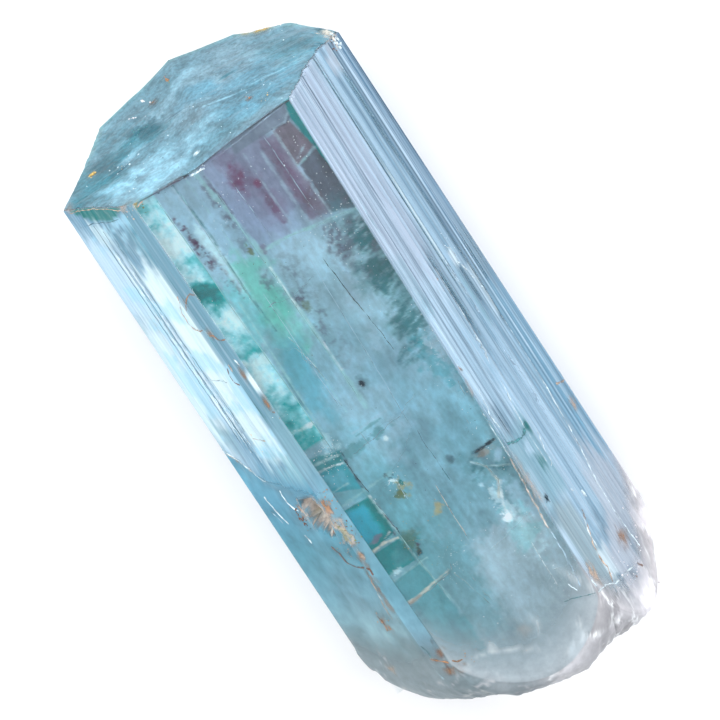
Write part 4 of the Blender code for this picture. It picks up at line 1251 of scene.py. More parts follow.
def front_layer():
    """The uppermost layer: base colour along the length, then every panel and spot, the band of painted
    reflection beside the left edge, broad and fine clouding with bars along the crystal, the differences of
    tone, and the seams over all."""
    depth = 0.9
    x, y = layer_grid(-25.6, 26.0, -8.2, 8.8, FRONT_STEP)
    z = DEPTH - depth + 0.1 * ripple(np.stack([x, y], axis=-1), 5.0, 81)
    place = np.stack([x, y], axis=-1)
    paint = np.ones((*x.shape, 4))
    paint[..., :3] = colour_at(x, LAYER_X, LAYER_COLOURS)
    broad = cloud(place, 5.0, 82)
    middle = cloud(place * np.array([0.6, 1.2]), 1.5, 83, 5)
    bars = cloud(place * np.array([0.03, 1.0]), 0.8, 85)
    fine = cloud(place, 0.35, 86, 3)
    paint[..., 3] = np.interp(x, LAYER_X, LAYER_COVER) + 0.08 * broad + 0.08 * middle + 0.04 * bars
    for number, (colour, cover, soft, rag, corners) in enumerate(FRONT_PANELS):
        paint = over_mix(paint, colour, cover * panel(x, y, corners, soft, rag, 400 + number))
    across, along = 0.98 * x + 0.21 * y, 0.21 * x - 0.98 * y
    feather = np.clip(0.75 + 0.8 * cloud(np.stack([across, 0.36 * along], axis=-1), 0.42, 88, 5), 0, 1)
    pattern = (np.clip(0.62 + 1.0 * fine, 0, 1), feather)
    for number, (colour, cover, centre, half_sizes, turn, rag, soft, square) in enumerate(FRONT_SPOTS):
        mask = spot(x, y, centre, half_sizes, turn, rag, soft, square, seed=100 + 2 * number)
        broken = BREAKING.get(colour, 0) * (pattern[colour in (CHARCOAL, DARK_GREEN)] - 1) + 1
        paint = over_mix(paint, colour, cover * mask * broken)
    # Painted reflection: the bright band beside the left edge.
    tone, cover = reflection_band_tone(x, y, place)
    paint = over_mix(paint, tone, cover)
    shade = 1 + 0.08 * broad + 0.1 * middle + 0.07 * bars + 0.05 * fine
    paint[..., :3] *= np.clip(shade, 0.4, 1.6)[..., None]
    for number, (left_over, centre, half_sizes) in enumerate(FRONT_TONES):
        mask = spot(x, y, centre, half_sizes, 0, 0.3, 1.3, 2, 90 + number)[..., None]
        paint[..., :3] *= 1 + (np.array(left_over) - 1) * mask
    for number, (colour, cover, half, route) in enumerate(FRONT_SEAMS):
        broken = np.clip(0.85 + 0.6 * cloud(place, 0.8, 600 + number), 0.2, 1)
        paint = over_mix(paint, colour, cover * broken * seam(x, y, half, route, 650 + 2 * number))
    paint[..., 3] = np.clip(paint[..., 3], 0, 1) * within(x, y, depth, z)
    layer_piece("cloud_under_front", x, y, z, paint, VEIL)


def deep_layer(name, depth, colour, cloud_colour, cover, seed):
    """A deeper, plainer layer on a coarser grid: patches of its two colours, drawn out along the
    crystal."""
    right, left = front_limits(np.array(0.0), depth)
    x, y = layer_grid(-22.0, 26.5, float(right), float(left), DEEP_STEP)
    place = np.stack([x, y], axis=-1)
    z = DEPTH - depth + 0.3 * ripple(place, 6.0, seed)
    patch = np.clip(0.5 + 0.6 * cloud(place * np.array([0.5, 1.0]), 3.0, seed + 1, 5), 0, 1)
    paint = np.ones((*x.shape, 4))
    paint[..., :3] = blend(np.array(colour), np.array(cloud_colour), patch[..., None])
    paint[..., 3] = np.clip(cover * (0.4 + 0.9 * patch), 0, 1) * within(x, y, depth, z, 0.6)
    layer_piece(name, x, y, z, paint, VEIL)


VEIL = painted("droplet_veil", 0.6, 0.0, (1.4, 2.2, 2.2), 0.36, 0.3)
front_layer()
deep_layer("cloud_middle", 4.2, (0.3, 0.6, 0.7), (0.5, 0.76, 0.84), 0.3, 510)
deep_layer("cloud_deep", 7.0, (0.26, 0.56, 0.66), (0.46, 0.7, 0.8), 0.35, 520)

# ---------------------------------------------------------------------------------------------------
# Cracks.  Healed and open fractures cross the crystal inside and drop steeply from the front, seen as
# pale, rusty or dark lines from above and as ragged veils from the side.

CRACKS = (
    # colour, cover, depth, lean towards the foot, jitter, start depth, route of (x, y)
    (SEA_PALE, 0.7, 2.2, 0.35, 0.08, 0.8, ((16.4, 1.0), (16.2, -1.1), (15.8, -2.8), (15.1, -6.4))),
    (MIST, 0.4, 3.0, 0.5, 0.15, 0.6, ((12.6, 3.6), (12.2, 1.6), (12.5, -0.8))),
    (WHITE, 0.8, 1.2, 0.2, 0.14, 0.2, ((9.6, 6.9), (9.7, 5.5), (9.3, 4.4), (8.6, 3.4), (7.8, 3.3),
      (6.9, 3.2))),
    (DARK_GREEN, 0.75, 1.0, 0.15, 0.06, 0.5, ((7.4, 3.3), (6.4, 3.0), (5.2, 2.8))),
    (BOTTLE_GREEN, 0.5, 2.5, 0.2, 0.12, 0.4, ((-0.9, 7.2), (-0.5, 4.6), (-0.4, 2.2), (-0.3, -0.8))),
    (MIST, 0.6, 2.6, 0.3, 0.12, 0.3, ((-1.1, 4.4), (-0.8, 2.2), (-0.6, 0.0), (0.3, -2.4))),
    (MIST, 0.45, 2.2, 0.3, 0.12, 0.6, ((-4.0, 2.6), (-3.0, 0.6), (-1.6, -1.0))),
    (SEA_PALE, 0.55, 1.8, 0.2, 0.1, 0.4, ((-4.5, 7.2), (-4.5, 5.6), (-4.4, 3.8), (-4.2, 2.9))),
    (INK, 0.95, 0.9, 0.05, 0.02, 0.5, ((-6.5, -3.4), (-6.5, -5.2))),
    (INK, 0.8, 0.5, 0.05, 0.03, 0.5, ((-4.6, -4.2), (-4.9, -3.8))),
    (WHITE, 0.75, 0.7, 0.1, 0.06, 0.3, ((-0.5, -5.5), (-2.2, -5.4))),
    (WHITE, 0.9, 0.7, 0.1, 0.05, 0.3, ((-3.2, -4.4), (-4.0, -4.4), (-4.8, -4.3))),
    (WHITE, 0.6, 0.9, 0.1, 0.05, 0.2, ((-3.6, -5.7), (-4.6, -5.6), (-5.4, -5.9))),
    (CREAM, 0.6, 1.4, 0.2, 0.12, 0.3, ((-7.0, -3.0), (-7.9, -3.7), (-9.4, -3.9), (-10.8, -3.1))),
    (CREAM, 0.5, 1.0, 0.2, 0.1, 0.3, ((-7.9, -3.7), (-8.3, -4.3), (-8.9, -5.4))),
    (WHITE, 0.55, 1.2, 0.2, 0.08, 0.3, ((-12.9, -4.8), (-13.3, -2.6), (-13.8, -0.3))),
    (TAN, 0.85, 0.8, 0.2, 0.06, 0.2, ((-9.3, 4.7), (-9.6, 3.9), (-10.3, 3.0))),
    (OCHRE, 0.55, 0.8, 0.2, 0.08, 0.2, ((-10.3, 3.0), (-11.3, 2.4), (-12.2, 1.3), (-12.3, 0.5))),
    (WHITE, 0.7, 0.9, 0.2, 0.06, 0.2, ((-8.8, 6.9), (-8.3, 5.9), (-8.3, 4.9))),
    (SEA_PALE, 0.55, 1.6, 0.2, 0.05, 0.2, ((-11.8, 6.9), (-11.4, 5.2), (-11.0, 3.6))),
    (TAN, 0.95, 1.0, 0.25, 0.05, 0.05, ((-13.9, 7.0), (-13.8, 6.2), (-13.6, 5.2))),
    (CREAM, 0.85, 2.4, 0.3, 0.05, 0.05, ((-13.7, 5.8), (-13.6, 4.9), (-13.4, 3.8), (-13.3, 3.0))),
    (WHITE, 0.95, 1.0, 0.2, 0.16, 0.1, ((-13.5, 3.6), (-13.2, 3.1), (-12.8, 2.5))),
    (CREAM, 0.55, 1.8, 0.3, 0.05, 0.1, ((-13.4, 3.0), (-14.6, 2.5), (-15.6, 2.3), (-17.5, 1.8))),
    (WHITE, 0.75, 1.0, 0.25, 0.14, 0.2, ((-14.2, 1.9), (-15.4, 1.8), (-16.6, 1.7), (-17.4, 1.6))),
    (WHITE, 0.45, 2.4, 0.3, 0.1, 0.5, ((-19.2, -2.0), (-18.0, -3.6), (-18.4, -5.0))),
)
CRACK_STEP = 0.1
CRACK_DROPS = 6                  # points down a crack's curtain


def paced(route, step):
    """How far along a route each of its corners lies, and even steps along it."""
    gone = np.concatenate([[0], np.cumsum(np.hypot(*np.diff(route, axis=0).T))])
    return gone, np.linspace(0, gone[-1], max(4, int(gone[-1] / step)))


def piece_of_grids(name, grids, paints, material):
    """One piece from several grids of points, in each of which quads join the neighbours."""
    quads, first = [], 0
    for grid in grids:
        index = first + np.arange(grid.shape[0] * grid.shape[1]).reshape(grid.shape[:2])
        quads.append(np.stack([index[:-1, :-1], index[:-1, 1:], index[1:, 1:], index[1:, :-1]],
                              axis=-1).reshape(-1, 4))
        first += index.size
    painted_piece(name, np.concatenate([grid.reshape(-1, 3) for grid in grids]), np.concatenate(quads),
                  np.concatenate([paint.reshape(-1, 4) for paint in paints]), material)


def crack_rows(route, depth, lean, jitter, start_depth, seed):
    """A curtain under a route: points in even steps along it, shaken by noise, carried down in rows
    that lean towards the foot."""
    route = np.array(route)
    gone, along = paced(route, CRACK_STEP)
    place = np.stack([np.interp(along, gone, route[:, part]) for part in range(2)], axis=-1)
    line = np.stack([along, np.full_like(along, 0.5)], axis=-1)
    place[:, 0] += jitter * cloud(line, 0.7, seed)
    place[:, 1] += jitter * 0.6 * cloud(line, 0.7, seed + 1)
    drop = np.linspace(0, 1, CRACK_DROPS)[:, None]
    points = np.empty((CRACK_DROPS, len(place), 3))
    points[..., 0] = place[:, 0] - lean * depth * drop
    points[..., 1] = place[:, 1] + 0.15 * depth * drop * cloud(line, 1.5, seed + 2)
    points[..., 2] = DEPTH - start_depth - depth * drop
    return points, along, drop


def make_cracks():
    """All cracks in one mesh of curtains, thickest along their upper edge."""
    grids, paints = [], []
    for number, (colour, cover, depth, lean, jitter, start_depth, route) in enumerate(CRACKS):
        grid, along, drop = crack_rows(route, depth, lean, jitter, start_depth, 700 + 3 * number)
        patch = 0.75 + 0.5 * cloud(grid, 0.5, 800 + number)
        end = np.clip(np.minimum(along, along[-1] - along) / 0.3, 0, 1)
        paint = np.ones((*grid.shape[:2], 4))
        paint[..., :3] = colour
        paint[..., 3] = np.clip(cover * patch * (1 - drop) ** 1.3 * end, 0, 1)
        grids.append(grid)
        paints.append(paint)
    piece_of_grids("cracks", grids, paints, painted("crack_veil", 0.35, 0.5, (2, 2, 2), 0.3, 1.0))


make_cracks()

# ---------------------------------------------------------------------------------------------------
# Growth tubes.  Hollow needles run along the crystal's length inside, as fine bright or dark lines.

TUBES = (
    # colour, from (x, y), to (x, y), depth below the front, radius
    (SEA_PALE, (24.2, 4.25), (12.0, 4.15), 0.35, 0.022), (SEA_PALE, (22.6, 1.9), (2.0, 1.45), 0.4, 0.03),
    (MIST, (13.8, 3.2), (2.4, 3.1), 0.5, 0.022), (WHITE, (9.8, 3.4), (5.0, 2.8), 0.4, 0.025),
    (INK, (13.4, -2.0), (7.8, -2.45), 0.45, 0.028), (INK, (7.8, -2.45), (4.1, -2.75), 0.45, 0.02),
    (MIST, (14.0, -1.2), (-2.0, -0.6), 0.5, 0.022), (DARK_GREEN, (-2.3, -0.75), (-7.3, -0.8), 0.4, 0.026),
    (TAN, (-6.6, 0.3), (-12.0, 0.5), 0.3, 0.03), (CREAM, (-6.8, 0.33), (-11.4, 0.5), 0.26, 0.022),
    (MIST, (24.0, -3.4), (17.0, -3.5), 0.5, 0.025), (MIST, (24.2, 0.5), (17.0, 0.3), 0.5, 0.025),
    (SEA_PALE, (24.8, 5.95), (-0.5, 5.35), 0.3, 0.03),
    (INK, (-0.9, 5.1), (-4.4, 4.85), 0.4, 0.03), (SEA_PALE, (-4.6, 5.0), (-15.5, 4.25), 0.35, 0.028),
    (BARK, (-6.5, 4.78), (-8.5, 4.6), 0.3, 0.03), (MIST, (4.4, 3.0), (-9.0, 2.6), 0.9, 0.018),
    (MIST, (6.0, -4.2), (-10.0, -4.0), 1.1, 0.018), (WHITE, (-15.0, -3.4), (-19.5, -3.2), 0.4, 0.022),
    (MIST, (-6.0, 3.8), (-21.0, 3.4), 1.2, 0.02),
)
TUBE_SIDES = 6
TUBE_STEPS = 40


def make_tubes():
    """Each tube is a ring of points carried along a line that wanders a little, closed at its ends by
    drawing them in to a point."""
    turn = np.arange(TUBE_SIDES) * 2 * np.pi / TUBE_SIDES
    share = np.linspace(0, 1, TUBE_STEPS)
    swell = np.sqrt(np.clip(np.minimum(share, 1 - share) * 12, 0, 1))
    points, quads, paints = [], [], []
    for number, (colour, start, end, depth, radius) in enumerate(TUBES):
        line = np.stack([share * 3.0, np.full_like(share, number)], axis=-1)
        x = blend(start[0], end[0], share)
        y = blend(start[1], end[1], share) + 0.05 * cloud(line, 0.8, 900)
        z = DEPTH - depth + 0.04 * cloud(line, 0.8, 901)
        wide = radius * swell * (1 + 0.35 * cloud(line * 4, 0.8, 902))
        ring = np.stack([np.broadcast_to(x[:, None], (TUBE_STEPS, TUBE_SIDES)),
                         y[:, None] + wide[:, None] * np.cos(turn),
                         z[:, None] + wide[:, None] * np.sin(turn)], axis=-1)
        index = number * TUBE_STEPS * TUBE_SIDES + np.arange(TUBE_STEPS * TUBE_SIDES)
        index = index.reshape(TUBE_STEPS, TUBE_SIDES)
        after = np.roll(index, -1, axis=1)
        quads.append(np.stack([index[:-1], after[:-1], after[1:], index[1:]], axis=-1).reshape(-1, 4))
        points.append(ring.reshape(-1, 3))
        paint = np.ones((TUBE_STEPS * TUBE_SIDES, 4))
        paint[:, :3] = colour
        broken = np.clip(0.8 + 0.9 * cloud(line * 3, 0.8, 903 + number), 0.1, 1)
        paint[:, 3] = np.repeat(broken, TUBE_SIDES)
        paints.append(paint)
    painted_piece("growth_tubes", np.concatenate(points), np.concatenate(quads), np.concatenate(paints),
                  painted("tube_wall", 0.2, 0.5, (1, 3, 3), 0.3, 0.6))


make_tubes()

# ---------------------------------------------------------------------------------------------------
# Specks.  Tiny bubbles, flakes and grains are scattered through the crystal near its faces: mostly
# bright, some rusty or black.  Each is a little eight-sided grain.

OCTAHEDRON = np.array([(1, 0, 0), (-1, 0, 0), (0, 1, 0), (0, -1, 0), (0, 0, 1), (0, 0, -1)], float)
OCTAHEDRON_FACES = np.array([(0, 2, 4), (2, 1, 4), (1, 3, 4), (3, 0, 4), (2, 0, 5), (1, 2, 5), (3, 1, 5),
                             (0, 3, 5)])

SWARMS = (
    # count, middle (x, y), spread (x, y), nearest and farthest depth, largest radius, colour
    (150, (18.6, -5.4), (3.0, 0.9), 0.2, 1.2, 0.06, WHITE),
    (110, (19.5, -1.0), (3.5, 2.4), 0.2, 1.5, 0.05, WHITE),
    (90, (14.5, -4.0), (2.0, 1.0), 0.2, 1.2, 0.05, WHITE),
    (70, (10.0, -4.8), (3.5, 1.2), 0.2, 1.5, 0.045, WHITE),
    (60, (2.5, -5.4), (1.6, 0.7), 0.2, 1.2, 0.05, WHITE),
    (90, (0.3, 5.7), (0.6, 0.5), 0.2, 1.0, 0.055, WHITE),
    (30, (-1.2, 6.0), (0.4, 0.8), 0.2, 1.0, 0.055, WHITE),
    (60, (21.0, 2.2), (1.8, 0.6), 0.2, 1.2, 0.045, WHITE),
    (50, (-12.6, 2.4), (0.9, 0.9), 0.2, 1.0, 0.05, WHITE),
    (50, (-13.0, -3.4), (1.6, 1.4), 0.2, 1.4, 0.05, WHITE),
    (60, (-17.0, 1.0), (3.0, 3.0), 0.2, 2.0, 0.06, WHITE),
    (40, (-18.5, -4.0), (2.0, 1.0), 0.2, 1.2, 0.055, WHITE),
    (220, (0.0, 0.0), (12.0, 3.8), 0.2, 4.0, 0.04, WHITE),
    (60, (5.0, 0.5), (8.0, 3.0), 0.2, 2.0, 0.035, INK),
    (50, (-9.0, 2.0), (5.0, 3.0), 0.2, 1.6, 0.04, INK),
    (40, (-9.0, 4.0), (2.5, 1.6), 0.2, 1.0, 0.05, OCHRE),
    (30, (14.0, 2.0), (4.0, 1.5), 0.2, 1.2, 0.05, OLIVE),
    (60, (-4.9, 2.7), (0.6, 0.5), 0.2, 0.9, 0.05, WHITE),
    (60, (-6.0, -5.2), (2.5, 0.8), 0.2, 1.0, 0.055, WHITE),
    (70, (8.0, 6.6), (6.0, 0.5), 0.2, 1.0, 0.05, WHITE),
)
SPECK_ENDS = (-20, 24.6)         # specks lie between these places along the crystal
SPECK_ROOM = 0.3                 # and at least this far inside its side faces


def grain_sizes(radius, count, rng):
    """Random radii up to the largest one, most of them small."""
    return radius * rng.uniform(0.25, 1.0, count) ** 1.5


def grains(centres, radii, colours, rng):
    """Eight-sided grains of uneven shape and random turn, from lists of arrays: points, faces, paint."""
    centres, radii, colours = (np.concatenate(arrays) for arrays in (centres, radii, colours))
    stretch = rng.uniform(0.5, 1.6, (len(radii), 1, 3))
    spin = np.linalg.qr(rng.normal(size=(len(radii), 3, 3)))[0]
    spin *= np.linalg.det(spin)[:, None, None]
    points = centres[:, None] + (OCTAHEDRON * stretch * radii[:, None, None]) @ spin
    faces = OCTAHEDRON_FACES + (np.arange(len(radii)) * len(OCTAHEDRON))[:, None, None]
    paint = np.ones((len(radii), len(OCTAHEDRON), 4))
    paint[..., :3] = colours[:, None]
    return points.reshape(-1, 3), faces.reshape(-1, 3), paint.reshape(-1, 4)


def make_specks():
    """Grains of random size, place and turn: every swarm's are drawn from a bell curve round its middle."""
    rng = np.random.default_rng(1234)
    centres, radii, colours = [], [], []
    for count, middle, spread, near, far, radius, colour in SWARMS:
        spots = rng.normal(size=(count, 2)) * np.array(spread) + np.array(middle)
        depth = rng.uniform(near, far, count)
        right, left = front_limits(spots[:, 0], depth)
        inside = (spots[:, 1] > right + SPECK_ROOM) & (spots[:, 1] < left - SPECK_ROOM)
        inside &= (spots[:, 0] > SPECK_ENDS[0]) & (spots[:, 0] < SPECK_ENDS[1])
        centres.append(np.column_stack([spots, DEPTH - depth])[inside])
        radii.append(grain_sizes(radius, count, rng)[inside])
        colours.append(np.broadcast_to(np.array(colour), (count, 3))[inside])
    points, faces, paint = grains(centres, radii, colours, rng)
    painted_piece("specks", points, faces, paint, painted("speck_grain", 0.25, 0.5, (2, 2, 2), 0.2, 0.0))


make_specks()

# ---------------------------------------------------------------------------------------------------
# Iron stain.  Rusty clay has stayed in the knocked-out pit on the left strip and in nicks and cracks
# along the edges: cream and grey with orange, brown and olive grains.

RUST = (0.3, 0.155, 0.075)
DARK_RUST = (0.12, 0.045, 0.02)
PIT_GREY = (0.35, 0.4, 0.39)
PIT_CREAM = (0.46, 0.4, 0.35)
STAIN_LIFT = FILM_LIFT * 2.5
OLIVE_BELOW = -3.8               # the pit's olive grains lie below this place along the crystal

STAINS = (
    # colour, cover, centre (x, y, z), reach (x, y, z)
    (RUST, 0.8, (-9.6, 8.2, 17.3), (2.6, 0.35, 0.6)), (RUST, 0.35, (-12.0, 8.35, 16.7), (2.2, 0.22, 0.5)),
    (DARK_RUST, 0.8, (-8.2, 8.9, 16.6), (1.4, 0.25, 0.5)),
    (TAN, 0.45, (-19.4, 10.9, 12.7), (0.6, 0.5, 0.6)), (RUST, 0.65, (-14.9, 9.1, 14.85), (0.9, 0.5, 0.7)),
    (RUST, 0.5, (16.5, 8.5, 17.2), (0.6, 0.25, 0.4)), (RUST, 0.5, (13.0, 8.2, 17.2), (0.6, 0.2, 0.4)),
    (RUST, 0.85, (6.3, 7.5, 17.6), (0.8, 0.25, 0.4)), (RUST, 0.55, (9.0, 7.8, 17.4), (0.8, 0.2, 0.4)),
    (PIT_CREAM, 0.45, (-11.0, -5.9, 17.6), (3.2, 0.35, 0.6)),
    (TAN, 0.8, (-20.3, -6.0, 16.6), (1.2, 0.35, 0.9)), (RUST, 0.6, (-21.6, -9.6, 11.0), (0.8, 0.8, 1.2)),
    (TAN, 0.45, (25.2, 9.4, 17.0), (0.5, 2.4, 0.6)), (TAN, 0.4, (25.8, 12.1, 11.2), (0.5, 0.5, 1.0)),
    (RUST, 0.8, (27.3, 0.7, 2.5), (0.6, 0.5, 0.5)), (RUST, 0.7, (26.7, 2.2, 3.8), (0.5, 0.3, 0.4)),
    (OCHRE, 0.75, (25.9, 9.1, 7.8), (0.5, 0.4, 0.4)), (RUST, 0.7, (25.8, -4.1, 13.5), (0.4, 0.25, 0.3)),
    (OCHRE, 0.55, (26.2, -7.6, 1.5), (0.6, 1.6, 0.7)), (CREAM, 0.85, (24.6, -12.0, 8.0), (0.9, 0.8, 1.6)),
    (OCHRE, 0.6, (25.3, 7.4, 17.7), (0.5, 0.5, 0.4)),
    (DARK_RUST, 0.22, (25.0, 3.6, 17.8), (0.2, 2.2, 0.25)),
    (TAN, 0.7, (-1.6, -5.9, 17.8), (0.7, 0.25, 0.4)), (TAN, 0.5, (5.0, -8.6, 14.3), (0.6, 0.3, 0.6)),
    (TAN, 0.55, (-11.6, -12.2, 7.0), (0.7, 0.5, 0.9)), (TAN, 0.15, (-20.6, 0.6, 17.4), (0.7, 0.6, 1.0)),
    (PIT_CREAM, 0.95, (-4.3, 8.85, 16.0), (1.7, 1.0, 2.0)),
    (PIT_CREAM, 0.85, (-6.0, 8.1, 17.0), (1.6, 0.6, 0.7)),
    (RUST, 0.7, (-3.2, 8.1, 17.1), (0.6, 0.3, 0.4)),
    (PIT_CREAM, 0.85, (-4.2, 9.6, 14.2), (1.0, 0.6, 1.0)),
    (DARK_RUST, 0.9, (-4.7, 9.8, 13.8), (0.6, 0.35, 0.5)),
    (DARK_RUST, 0.85, (-3.5, 9.6, 14.0), (0.35, 0.3, 0.5)),
    (DARK_RUST, 0.8, (-5.3, 9.45, 14.6), (0.35, 0.3, 0.4)),
    (RUST, 0.75, (-3.7, 8.1, 16.8), (1.1, 0.35, 0.35)), (TAN, 0.55, (-4.9, 8.8, 16.3), (0.9, 0.4, 0.7)),
    (RUST, 0.6, (-18.6, 7.1, 17.6), (0.5, 0.5, 0.3)), (RUST, 0.8, (-3.5, 9.55, 14.1), (0.7, 0.35, 0.5)),
    (OLIVE, 0.85, (-6.3, 8.2, 17.0), (0.8, 0.35, 0.4)), (RUST, 0.55, (-20.3, 6.8, 17.4), (0.5, 0.9, 0.5)),
    (INK, 0.9, (-13.1, -6.24, 16.9), (0.3, 0.25, 0.35)),
    (DARK_RUST, 0.85, (-19.0, 7.2, 17.5), (1.3, 0.12, 0.5)),
)


def stain_paint():
    """The pit's filling with grains of rust, and olive ones at its end towards the foot, then stains that
    thin out from their middles and break up into grains."""
    paint = np.zeros((*rows.shape[:2], 4))
    fine = cloud(rows, 0.35, 950)
    broad = cloud(rows, 0.9, 951)
    pit = np.clip((hollow_rows[0] + hollow_rows[1]) / 0.12, 0, 1)
    filling = blend(np.array(PIT_GREY), np.array(PIT_CREAM), np.clip(0.5 + broad, 0, 1)[..., None])
    paint = over(paint, filling, pit)
    paint = over(paint, RUST, pit * np.clip(fine * 1.6 - 0.25, 0, 0.9))
    paint = over(paint, DARK_RUST, pit * np.clip(cloud(rows, 0.45, 952) * 2.2 - 0.9, 0, 1))
    olive = np.clip(cloud(rows, 0.9, 953) * 2.0 - 0.7, 0, 0.8)
    paint = over(paint, OLIVE, pit * olive * (rows[..., 0] < OLIVE_BELOW))
    for colour, cover, centre, reach in STAINS:
        far = np.sqrt((((rows - np.array(centre)) / np.array(reach)) ** 2).sum(-1))
        grain = np.clip(1.15 - far + 0.55 * fine + 0.35 * broad, 0, 1)
        paint = over(paint, colour, np.clip(cover * grain ** 1.3, 0, 1) * (far < 1.5))
    return paint


film("iron_stain", stain_paint(), STAIN_LIFT,
     painted("rusty_clay", 0.7, 0.3, (3.0, 3.0, 3.0), 0.8, 1.2, 0.06))

# ---------------------------------------------------------------------------------------------------
# Edge lines.  Rusty threads, white-glare threads that are painted highlights on edges and ridges, and dark
# hairline cracks run over the faces and along the edges.  Each is a fine raised bead that follows the
# crystal's surface.

